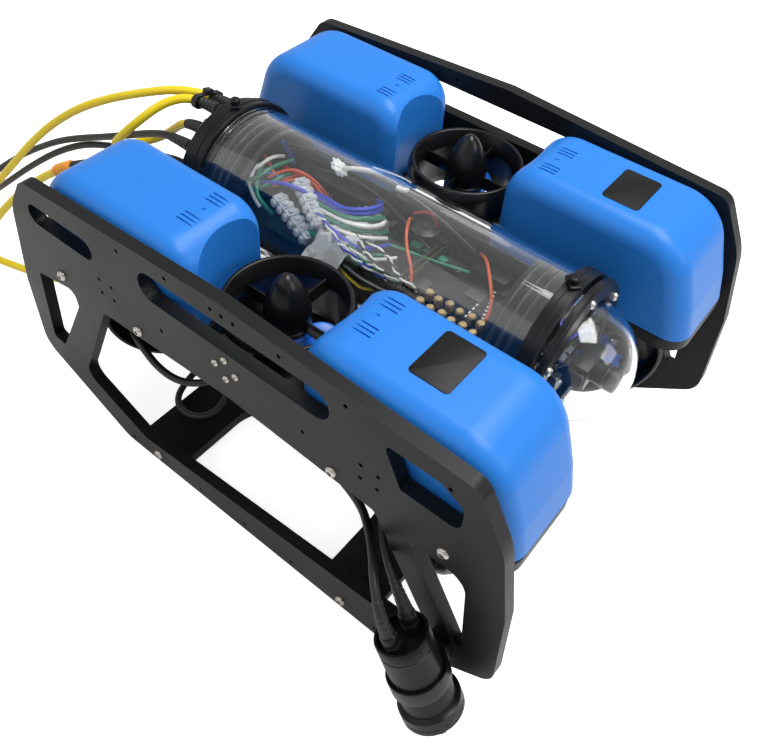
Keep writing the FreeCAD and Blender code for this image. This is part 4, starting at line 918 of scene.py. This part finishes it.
def buildModules(top):
    relay = {"near": 22, "wide": 15, "long": 18, "low": 1, "tall": 15, "lid": 0.6, "inset": 2,
             "starts": (94, 74, 54, 34, 14)}

    def relays(form):
        # a row of relay cases along the port side
        near, far, low = relay["near"], relay["near"] + relay["wide"], top + relay["low"]
        high, inset = low + relay["tall"], relay["inset"]
        for start in relay["starts"]:
            end = start + relay["long"]
            block(form, (near, start, low), (far, end, high))
            block(form, (near + inset, start + inset, high), (far - inset, end - inset, high + relay["lid"]))
    piece("relayCases", "mouldedBlack", relays, soft=0.5)

    def carrier(form):
        # the tall board behind the relay cases, and two boxes by it
        block(form, (39, -108, 188), (40.6, 112, 219))
        block(form, (30, -40, top), (39, -12, top + 12))
        block(form, (24, -96, top), (39, -66, top + 9))
    piece("carrierBoard", "circuitBlack", carrier, soft=0.4)

    def carrierParts(form):
        for k in range(26):
            start, rise = -104 + 8.2 * k, 4 * (k % 3)
            block(form, (37.6, start, 190 + rise), (39, start + dice.uniform(2, 5), 196 + rise))
        lathe(form, [(0, top), (11, top), (11, top + 2), (9.6, top + 2.4), (9.6, top + 3), (3.4, top + 3.4),
                     (3.4, top + 5), (0, top + 5)], Matrix.Translation((33, -17, 12.2)), 40)
    piece("carrierParts", "chipGrey", carrierParts, soft=0.3)

    def connectors(form):
        for start in (-22, -34, -46):
            block(form, (18, start, top), (24, start + 9, top + 5))
    piece("sideConnectors", "wireGreen", connectors, soft=0.3)
    foil = {"across": 11, "along": 15, "middle": (-44, 18, 216), "thick": 0.0005, "crumple": 1.1, "fold": 3.2}

    def tape(form):
        # crumpled foil tape round a joint
        x, y, z = foil["middle"]
        rows = []
        for i in range(foil["along"]):
            row = []
            for j in range(foil["across"]):
                u, v = i / (foil["along"] - 1) - 0.5, j / (foil["across"] - 1) - 0.5
                fold = foil["fold"] * math.sin(9 * u + 3 * v) * math.cos(8 * v - 4 * u)
                lift = fold + dice.uniform(-foil["crumple"], foil["crumple"])
                row.append(form.verts.new((x + 27 * v + 8 * u, y - 30 * u, z + 14 * v + lift)))
            rows.append(row)
        for low, high in zip(rows, rows[1:]):
            for k in range(foil["across"] - 1):
                form.faces.new((low[k], low[k + 1], high[k + 1], high[k]))
    sheet = piece("foilTape", "tapeGrey", tape, angle=20)
    sheet.modifiers.new("thickness", "SOLIDIFY").thickness = foil["thick"]


def twistPoints(points, phase):
    # one of two insulated wires laid round each other along a smooth run
    twist = {"steps": 60, "turn": 0.62, "apart": 1.0}
    steps = twist["steps"]
    run = []
    for k in range(steps + 1):
        spot = (len(points) - 1.0001) * k / steps
        low = int(spot)
        share = spot - low
        run.append(Vector(points[low]).lerp(Vector(points[low + 1]), share * share * (3 - 2 * share)))
    made = []
    for k, middle in enumerate(run):
        along = (run[min(k + 1, steps)] - run[max(k - 1, 0)]).normalized()
        side = along.cross(Vector((0, 0, 1))).normalized()
        lift = side.cross(along)
        angle = k * twist["turn"] + phase
        made.append(middle + (side * math.cos(angle) + lift * math.sin(angle)) * twist["apart"])
    return made


def runWires():
    # each wire inside the clear tube: its colour, its radius and its points in millimetres
    wires = {
        "blueLoop": ("Blue", 1.7, [(-6, 150, 206), (-2, 146, 220), (0, 139, 230), (5, 135, 236),
            (12, 128, 238), (13, 117, 236), (17, 113, 226), (24, 114, 210)]),
        "whiteTop": ("White", 1.5, [(-2, 142, 214), (5, 134, 226), (11, 127, 234), (20, 122, 236),
            (31, 121, 229)]),
        "greenA": ("Green", 1.6, [(-21, 146, 210), (-32, 116, 222), (-25, 104, 228), (-13, 105, 230),
            (14, 106, 222)]),
        "greenB": ("Green", 1.8, [(-10, 118, 224), (-33, 103, 224), (-37, 93, 216), (-32, 85, 206)]),
        "greenC": ("Green", 1.5, [(-20, 130, 208), (-30, 110, 214), (-24, 96, 224), (-8, 94, 226),
            (6, 98, 216)]),
        "whiteA": ("White", 1.6, [(-24, 147, 210), (-25, 122, 222), (-16, 113, 229), (0, 115, 229),
            (15, 117, 220)]),
        "whiteB": ("White", 1.5, [(-20, 124, 224), (-35, 108, 218), (-34, 97, 208)]),
        "whiteC": ("White", 1.4, [(-34, 140, 206), (-36, 122, 214), (-30, 112, 222), (-20, 116, 226),
            (-8, 126, 222)]),
        "blueB": ("Blue", 1.6, [(-22, 112, 216), (-21, 90, 228), (-20, 74, 231), (-14, 62, 226),
            (-6, 58, 214)]),
        "blueC": ("Blue", 1.4, [(-30, 130, 204), (-20, 120, 218), (-8, 108, 222), (-4, 94, 214)]),
        "redA": ("Orange", 1.2, [(-16, 105, 222), (-4, 94, 230), (-1, 77, 230), (3, 66, 222), (7, 61, 210)]),
        "redB": ("Red", 1.3, [(7, 108, 218), (-2, 83, 226), (-3, 68, 222), (-4, 62, 210)]),
        "redC": ("Red", 1.2, [(-14, 100, 218), (-6, 88, 226), (4, 80, 226), (8, 70, 214)]),
        "redD": ("Orange", 1.2, [(-20, 96, 220), (-10, 84, 228), (2, 72, 226), (0, 60, 214)]),
        "redE": ("Orange", 1.4, [(0, 148, 202), (2, 132, 222), (0, 122, 226), (-2, 112, 214)]),
        "arcBlue": ("Blue", 1.8, [(-3, 74, 218), (-13, 48, 230), (-18, 26, 233), (-4, 12, 232), (16, 12, 226),
            (30, 30, 212)]),
        "arcBlueB": ("Blue", 1.7, [(-7, 68, 220), (-15, 46, 227), (-17, 24, 230), (-5, 11, 229),
            (14, 12, 222), (32, 28, 208)]),
        "arcTeal": ("Green", 1.8, [(-12, 63, 220), (-18, 44, 226), (-20, 22, 229), (-8, 8, 227), (11, 9, 218),
            (20, 16, 208)]),
        "arcWhite": ("White", 1.8, [(-16, 60, 218), (-20, 42, 224), (-21, 20, 226), (-12, 5, 224),
            (5, 3, 218), (20, 14, 206)]),
        "arcTealB": ("Green", 1.6, [(-21, 54, 216), (-24, 35, 223), (-22, 16, 223), (-8, 5, 217),
            (10, 4, 206)]),
        "arcWhiteB": ("White", 1.6, [(-24, 56, 214), (-27, 36, 220), (-26, 16, 221), (-14, 2, 216),
            (4, 0, 206)]),
        "longBlue": ("Blue", 1.6, [(-25, 47, 220), (-32, 22, 224), (-32, 5, 220), (-22, -3, 213),
            (2, -4, 203)]),
        "longGreen": ("Green", 1.6, [(-36, 44, 214), (-38, 15, 216), (-30, -2, 212), (-9, -9, 203)]),
        "longWhite": ("White", 1.4, [(-30, 40, 216), (-35, 14, 218), (-33, -4, 214), (-20, -12, 207),
            (-4, -16, 201)]),
        "teal": ("Green", 1.4, [(-34, 30, 218), (-38, 4, 214), (-34, -14, 208), (-22, -26, 201)]),
        "yellow": ("Yellow", 1.0, [(-40, 14, 206), (-46, 0, 206), (-46, -10, 203), (-44, -17, 199),
            (-38, -22, 197)]),
        "blackLow": ("Black", 2.2, [(-40, 24, 210), (-43, 7, 211), (-44, -10, 207), (-39, -27, 201),
            (-33, -40, 197)]),
        "frontGreen": ("Green", 1.2, [(0, -7, 206), (5, -23, 205), (10, -40, 203), (21, -66, 200)]),
        "orangeA": ("Orange", 1.3, [(34, -2, 208), (20, -8, 224), (-2, -21, 219), (-15, -40, 207),
            (-20, -41, 197)]),
        "orangeB": ("Orange", 1.3, [(42, -62, 204), (28, -75, 216), (9, -90, 217), (-3, -101, 210),
            (-13, -105, 202), (-22, -103, 197)]),
        "redBit": ("Red", 1.3, [(34, -4, 216), (33, -16, 225), (35, -24, 222), (36, -24, 212)]),
        "blackA": ("Black", 1.5, [(0, 150, 212), (10, 132, 230), (20, 96, 236), (26, 60, 236), (30, 20, 234),
            (36, -20, 226), (38, -60, 206)]),
        "blackB": ("Black", 1.5, [(-14, 150, 200), (-8, 120, 206), (4, 90, 208), (0, 50, 206), (-10, 20, 204),
            (-4, -20, 198)]),
        "blackC": ("Black", 1.3, [(20, 120, 206), (30, 90, 214), (34, 50, 218), (30, 10, 212),
            (20, -30, 202)]),
        "gluedLead": ("White", 1.7, [(12, 56, 239), (14, 46, 242), (18, 36, 243), (24, 22, 243), (29, 9, 240),
            (27, 0, 240), (20, -1, 241), (17, 5, 243)])
    }
    for name, (color, radius, points) in wires.items():
        strand("wire_" + name, points, radius, "wire" + color)
    pairs = {
        "A": ("Blue", [(-24, 50, 224), (-28, 35, 224), (-38, 12, 222), (-37, -8, 214), (-28, -26, 202)]),
        "B": ("Black", [(-10, 30, 216), (-19, 15, 220), (-29, -5, 218), (-32, -24, 212), (-23, -39, 200)]),
        "C": ("Black", [(-8, 18, 210), (-17, 5, 216), (-18, -17, 214), (-24, -33, 208), (-20, -48, 199)]),
        "D": ("Green", [(-30, 30, 220), (-33, 8, 220), (-33, -12, 213), (-26, -34, 203), (-16, -44, 198)])
    }
    for name, (color, points) in pairs.items():
        strand("twistWhite_" + name, twistPoints(points, 0), 0.8, "wireWhite")
        strand("twistBlue_" + name, twistPoints(points, math.pi), 0.8, "wire" + color)
    glue = {"middle": (12, 56, 239), "lean": 0.5, "half": (5.5, 8, 3), "lumps": 0.18}

    def glueBlob(form):
        bmesh.ops.create_icosphere(form, subdivisions=4, radius=1)
        for vertex in form.verts:
            x, y, z = vertex.co
            push = 1 + glue["lumps"] * math.sin(7 * x + 3 * z) * math.cos(6 * y)
            vertex.co = Vector((x * glue["half"][0], y * glue["half"][1], z * glue["half"][2])) * push
    piece("glueBlob", "gluedWhite", glueBlob,
          place=Matrix.Translation(glue["middle"]) @ Matrix.Rotation(glue["lean"], 4, "X"))
    # dark band that stands across the tube behind the tray
    turned("trayHoop", "mouldedBlack", [(46.5, 108), (49.8, 108), (49.8, 113), (46.5, 113)],
           seat((0, 0, 198), (0, 1, 0), (1, 0, 0)), closed=True, soft=0.4)


def buildCamera():
    eye = {"pivot": (0, -178, 198), "half": 14.5, "back": 7, "tall": 10, "lens": 6.3, "lensFrom": 22.6,
           "bulge": 1.9}
    pivot = Matrix.Translation(eye["pivot"])
    ahead = seat((0, 0, 0), (0, -1, 0))
    refined("camera_bracket", "mouldedBlack", 0.0005)

    def case(form):
        block(form, (-eye["half"], -eye["back"], -eye["tall"]), (eye["half"], eye["back"], eye["tall"]))
        lathe(form, [(0, 5), (8.6, 5), (8.6, 14), (9, 14.5), (9, 16), (8.5, 16.3), (8.5, 17.5), (9, 17.8),
                     (9, 23), (8.2, 24.8), (7.2, 25), (6.4, 22.5), (0, 22.5)], ahead, 64)
        lathe(form, [(0, -18.8), (2, -18.8), (2, 18.8), (0, 18.8)], seat((0, 0, 0), (1, 0, 0)), 24)
    piece("cameraCase", "anodised", case, body="camera_head", slot="camera_black", stands=["camera"],
          place=pivot, soft=0.5, angle=30)
    rim, start, bulge = eye["lens"], eye["lensFrom"], eye["bulge"]
    turns = [math.pi / 2 * k / 10 for k in range(1, 10)]
    curve = [(rim * math.cos(turn), start + bulge * math.sin(turn)) for turn in turns]
    turned("cameraLens", "glassDark", [(0, start), (rim, start)] + curve + [(0, start + bulge)], ahead, 48,
           body="camera_head", place=pivot)

    def chassis(form):
        # baffle disc, board and servo behind the camera, seen through the dome
        lathe(form, [(12, -1), (37.4, -1), (37.4, 1), (12, 1)], seat((0, -152, 198), (0, -1, 0)), 72, True)
        for low, high in (((-13, -153.5, 185), (13, -150.5, 211)), ((-28, -161, 184), (28, -159, 214)),
                          ((17.5, -172, 190), (27, -160, 210)), ((-27, -170, 186), (-19, -160, 200))):
            block(form, low, high)
    piece("cameraChassis", "chipGrey", chassis, soft=0.5)
    strand("wire_cameraA", [(8, -165, 207), (14, -172, 216), (4, -168, 224), (-10, -161, 216)], 1.0,
           "wireBlue")
    strand("wire_cameraB", [(-8, -165, 207), (-16, -174, 214), (-24, -166, 206), (-22, -158, 196)], 1.0,
           "wireBlack")


def bladeMesh(form, place):
    blade = {"root": 14, "tip": 37.3, "pitchRoot": 42, "pitchTip": 20, "chord": 22, "thick": 3.4,
             "level": -14.2, "stations": 12, "around": 18, "tipFrom": 0.8}
    rings = []
    for i in range(blade["stations"] + 1):
        share = i / blade["stations"]
        radius = blade["root"] + (blade["tip"] - blade["root"]) * share
        pitch = math.radians(blade["pitchRoot"] + (blade["pitchTip"] - blade["pitchRoot"]) * share)
        wide = blade["chord"] * (0.62 + 0.5 * math.sin(math.pi * min(share * 0.8 + 0.05, 1)))
        if share > blade["tipFrom"]:
            wide *= math.sqrt(max(0.03, 1 - ((share - blade["tipFrom"]) / 0.2) ** 2 * 0.75))
        thick = blade["thick"] * (1 - 0.6 * share)
        ring = []
        for k in range(blade["around"]):
            turn = 2 * math.pi * k / blade["around"]
            along = wide / 2 * math.cos(turn)
            rise = thick / 2 * math.sin(turn) * (1.3 if math.sin(turn) > 0 else 0.7)
            # the section wraps round its own radius, so that the tip clears the nozzle
            bend = (along * math.cos(pitch) - rise * math.sin(pitch)) / radius
            z = blade["level"] + along * math.sin(pitch) + rise * math.cos(pitch)
            ring.append(form.verts.new(place @ Vector((radius * math.cos(bend), radius * math.sin(bend), z))))
        rings.append(ring)
    skin(form, rings)


def buildThruster(name, place):
    nozzle = {"throat": 38.6, "mount": 50.3, "saddle": 14, "hub": 17, "steps": 24}
    hub, steps = nozzle["hub"], nozzle["steps"]
    fin = [(-1.2, 0.4), (-0.9, -0.8), (0.9, -0.8), (1.2, 0.4), (1.2, 8), (0.6, 10.6), (0, 11), (-0.6, 10.6),
           (-1.2, 8)]

    def duct(form):
        # the nozzle's ring with its saddle, four stators, and the motor with its tail cone and shaft
        wall = rounded([(38.6, -24), (41.1, -32), (44.6, -32), (48.5, -6), (48.5, 13), (46.1, 20), (43.5, 20),
                        (38.6, 8)], [6, 1.2, 1.6, 12, 8, 1.2, 1.2, 14], 5)
        lathe(form, wall, Matrix(), 112, True)
        side = nozzle["saddle"]
        block(form, (nozzle["throat"] + 5, -side, -side), (nozzle["mount"] - 0.05, side, side))
        outward = seat((0, 0, 0), (1, 0, 0), (0, 1, 0))
        for turn in range(4):
            spin = Matrix.Rotation(turn * math.pi / 2, 4, "Z")
            slab(form, fin, nozzle["hub"] - 2, nozzle["throat"] + 1.5, spin @ outward)
        ogive = [(hub * (1 - (k / steps) ** 1.6) ** 0.62, 10 + 34 * k / steps) for k in range(1, steps)]
        lathe(form, [(0, -3), (16.4, -3), (17, -2.4), (17, 1), (16.6, 1.3), (16.6, 1.9), (17, 2.2),
                     (17, 10)] + ogive + [(0, 44)], Matrix(), 72)
        lathe(form, [(0, -25), (2.5, -25), (2.5, -2)], Matrix(), 20)
    piece("nozzle_" + name, "mouldedBlack", duct, slot="thruster_black", stands=["thruster_" + name],
          place=place, angle=32)

    def screw(form):
        # spinner with its blunt nose, and three blades
        nose = [(hub * math.sqrt(1 - (k / steps) ** 1.7), -24.2 - 35.8 * k / steps) for k in range(1, steps)]
        lathe(form, [(0, -4.2), (16.2, -4.2), (17, -5), (17, -24.2)] + nose + [(0, -60)], Matrix(), 72)
        for turn in range(3):
            bladeMesh(form, Matrix.Rotation(turn * 2 * math.pi / 3, 4, "Z"))
    piece("propeller_" + name, "propellerBlue", screw, body=name + "_screw", slot="propeller_blue",
          stands=["prop_" + name], place=place, angle=40)


def buildThrusters():
    lift = {"x": 108.7, "z": 205}
    vector = {"x": 104, "y": 150, "z": 121.2}
    buildThruster("lift_port", Matrix.Translation((lift["x"], 0, lift["z"])))
    buildThruster("lift_starboard",
                  Matrix.Translation((-lift["x"], 0, lift["z"])) @ Matrix.Rotation(math.pi, 4, "Z"))
    for side, sideName in ((1, "port"), (-1, "starboard")):
        for end, endName in ((1, "rear"), (-1, "front")):
            buildThruster("%s_%s" % (endName, sideName), seat((side * vector["x"], end * vector["y"],
                    vector["z"]), (side, -end, 0), (0, 0, 1)))


def buildLamp():
    lamp = {"place": (-196, -209, 37), "tilt": -26, "teeth": 5, "toothRadius": 20.8, "nutSide": 9.4,
            "nutFrom": 69}
    place = Matrix.Translation(lamp["place"]) @ Matrix.Rotation(math.radians(lamp["tilt"]), 4, "X")

    def case(form):
        lathe(form, [(0, 5), (17.5, 5), (17.5, 0.6), (18.1, 0), (21.9, 0), (22.5, 0.7), (22.5, 4), (22, 4.4),
                     (22, 5.2), (22.5, 5.6), (22.5, 11.2), (21.6, 12), (19.2, 13), (19, 14), (19, 66),
                     (18.4, 66.4), (18.4, 67.6), (19, 68), (19, 75), (18.5, 76), (17, 76), (16.6, 75.5),
                     (16.6, 69), (0, 69)], place, 96)
        for k in range(lamp["teeth"]):
            turn = math.radians(20 + 360 / lamp["teeth"] * k)
            spot = (lamp["toothRadius"] * math.cos(turn), lamp["toothRadius"] * math.sin(turn), 6)
            block(form, (-2, -1.2, -6), (2, 1.6, 4),
                  place @ Matrix.Translation(spot) @ Matrix.Rotation(turn - math.pi / 2, 4, "Z"))
    piece("lampCase", "anodised", case, slot="anodised_black", stands=["lamp_body"], angle=28)

    def nuts(form):
        for side in (-1, 1):
            stand = place @ Matrix.Translation((side * lamp["nutSide"], 0, lamp["nutFrom"]))
            slab(form, ringOf(6.9, 6, 0.2), 0, 8.2, stand)
            lathe(form, [(0, 8.2), (5.4, 8.2), (5.4, 10), (6, 10.6), (6, 15.4), (5.2, 17.4), (4.6, 17.9),
                         (0, 17.9)], stand, 32)
    piece("lampNuts", "anodised", nuts, soft=0.3, angle=30)
    piece("lampScrews", "steel",
          lambda form: screwCircle(form, place, (3, -40, 20.4, 0.4), (1.7, 1.4, 0.8), (0, 0, -1)))
    turned("lampWindow", "lampGlass", [(0, 1), (17.0, 1), (17.4, 1.4), (17.4, 4.5), (17.0, 4.9), (0, 4.9)],
           place, 72, slot="lamp_glass", stands=["lamp_window"])

    def band(form):
        # split clamp with its bolt ears
        lathe(form, [(19.05, 30.3), (19.4, 30), (21.2, 30), (21.5, 30.4), (21.5, 41.6), (21.2, 42),
                     (19.4, 42), (19.05, 41.7)], place, 72, True)
        block(form, (20.5, -8.8, 30.2), (26.9, 8.8, 41.8), place)
    piece("lampBand", "mouldedBlack", band, slot="clamp_black", stands=["lamp_clamp"], soft=0.3, angle=30)


def fitBoots(made, lines):
    boots = {"long": 24, "ribs": 4, "thick": 1.9, "taper": 1.45, "rib": 0.5}
    for way in ("leaving", "arriving"):
        for name, (_, _, facts) in made.items():
            if way == "arriving" and facts["end"] != "object":
                continue
            line = lines[name] if way == "leaving" else lines[name][::-1]

            def boot(form):
                # ribbed and tapered, bent along with its cable
                run = stretch(line, 0, boots["long"])
                widths = []
                for k in range(len(run)):
                    groove = boots["rib"] if 2 < k and k % boots["ribs"] == 0 else 0
                    share = k / (len(run) - 1)
                    widths.append(facts["thick"] / 2 + boots["thick"] - boots["taper"] * share - groove)
                sleeve(form, run, widths)
            piece("boot_%s_%s" % (name, way), "rubberBlack", boot, angle=50)


def finishEnds(made):
    plugs = {"plugUpper": ((-78, 597, 5.6), (-2, 27, 1.6)), "plugLower": ((-26, 569, 5.6), (16, 23, 1.6))}
    for name, (start, heading) in plugs.items():
        turned(name, "rubberBlack", [(0, 0.2), (3.9, 0.2), (4.6, 5), (5.4, 8), (5.4, 14), (5.1, 14.4),
                                     (5.1, 15.6), (5.4, 16), (5.4, 22), (4.9, 22.6), (4.9, 31.6), (4.2, 31.8),
                                     (4.2, 27), (0, 27)], seat(start, heading), 40, slot="lead_black",
               angle=30)
    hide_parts("lead_plugs")
    tie = {"middle": (8.6, 199, 242.3), "tilt": 15, "half": 14.8, "rise": 4.6, "wall": 1.3, "long": 2.5}
    tiePlace = Matrix.Translation(tie["middle"]) @ Matrix.Rotation(math.radians(tie["tilt"]), 4, "Y")

    def band(form):
        outer = rounded(box(tie["half"] + tie["wall"], tie["rise"] + tie["wall"]), 5.1, 8)
        inner = rounded(box(tie["half"], tie["rise"]), 3.8, 8)
        flat = tiePlace @ seat((0, 0, 0), (0, -1, 0), (1, 0, 0))
        rings = [[form.verts.new(flat @ Vector((x, y, z))) for x, y in line] for line, z in (
            (outer, -tie["long"]), (outer, tie["long"]), (inner, tie["long"]), (inner, -tie["long"]))]
        skin(form, rings + rings[:1], False)
        block(form, (-3.6, -3.2, 5.4), (3.2, 3.2, 9.6), tiePlace)
    piece("tieBand", "tieBlack", band, slot="tie_black", stands=["cable_tie"], soft=0.25, angle=30)
    lines = {name: [point * 1000 for point in readLine(line)] for name, (line, _, _) in made.items()}
    fitBoots(made, lines)
    end, before = lines["tetherLine"][-1], lines["tetherLine"][-3]
    turned("tetherPlug", "anodised", [(0, -6), (4.3, -6), (5.2, -1), (5.5, 0), (5.5, 9), (5.1, 9.5),
                                      (5.1, 11), (5.5, 11.5), (5.5, 19), (4.7, 19.6), (4.7, 25.5), (4.3, 26),
                                      (3.6, 26), (3.6, 22), (0, 22)],
           seat(end, (end - before) * Vector((1, 1, 0))), 36, angle=30)
    joint = {"from": 262, "meet": 292, "to": 313, "sleeve": 4.7, "body": 6.1, "groove": 5.2}
    near = stretch(lines["chargeLead"], 60, 200)
    covered = [point for point in near if joint["from"] < point.y < joint["meet"]]
    even = [joint["sleeve"]] * len(covered)
    piece("chargeSleeve", "rubberBlack", lambda form: sleeve(form, covered, even), angle=50)
    run = [point for point in near if joint["meet"] - 2 < point.y < joint["to"]]
    widths = [joint["body"] if 2 < k < len(run) - 3 and k % 5 else joint["groove"] for k in range(len(run))]
    piece("chargeConnector", "connectorOrange", lambda form: sleeve(form, run, widths), angle=40)
    return {"blackLeadUpper": ["plugUpper"], "blackLeadLower": ["plugLower"], "tetherLine": ["tetherPlug"],
            "chargeLead": ["chargeSleeve", "chargeConnector"]}


aimCamera()
lightStudio()
mixFinishes()
layFloor()
laid = layCables()
print("cables laid:", len(laid))
buildFrame()
fitScrews()
print("frame built")
buildFairings()
print("fairings carved")
buildTube()
fitGlands()
buildBattery()
boardTop = 194.6
buildBoards(boardTop)
buildTerminals(boardTop)
buildModules(boardTop)
runWires()
buildCamera()
print("pressure tubes filled")
buildThrusters()
buildLamp()
print("thrusters and lamp fitted")
declareCables(laid, finishEnds(laid))

bpy.context.view_layer.update()
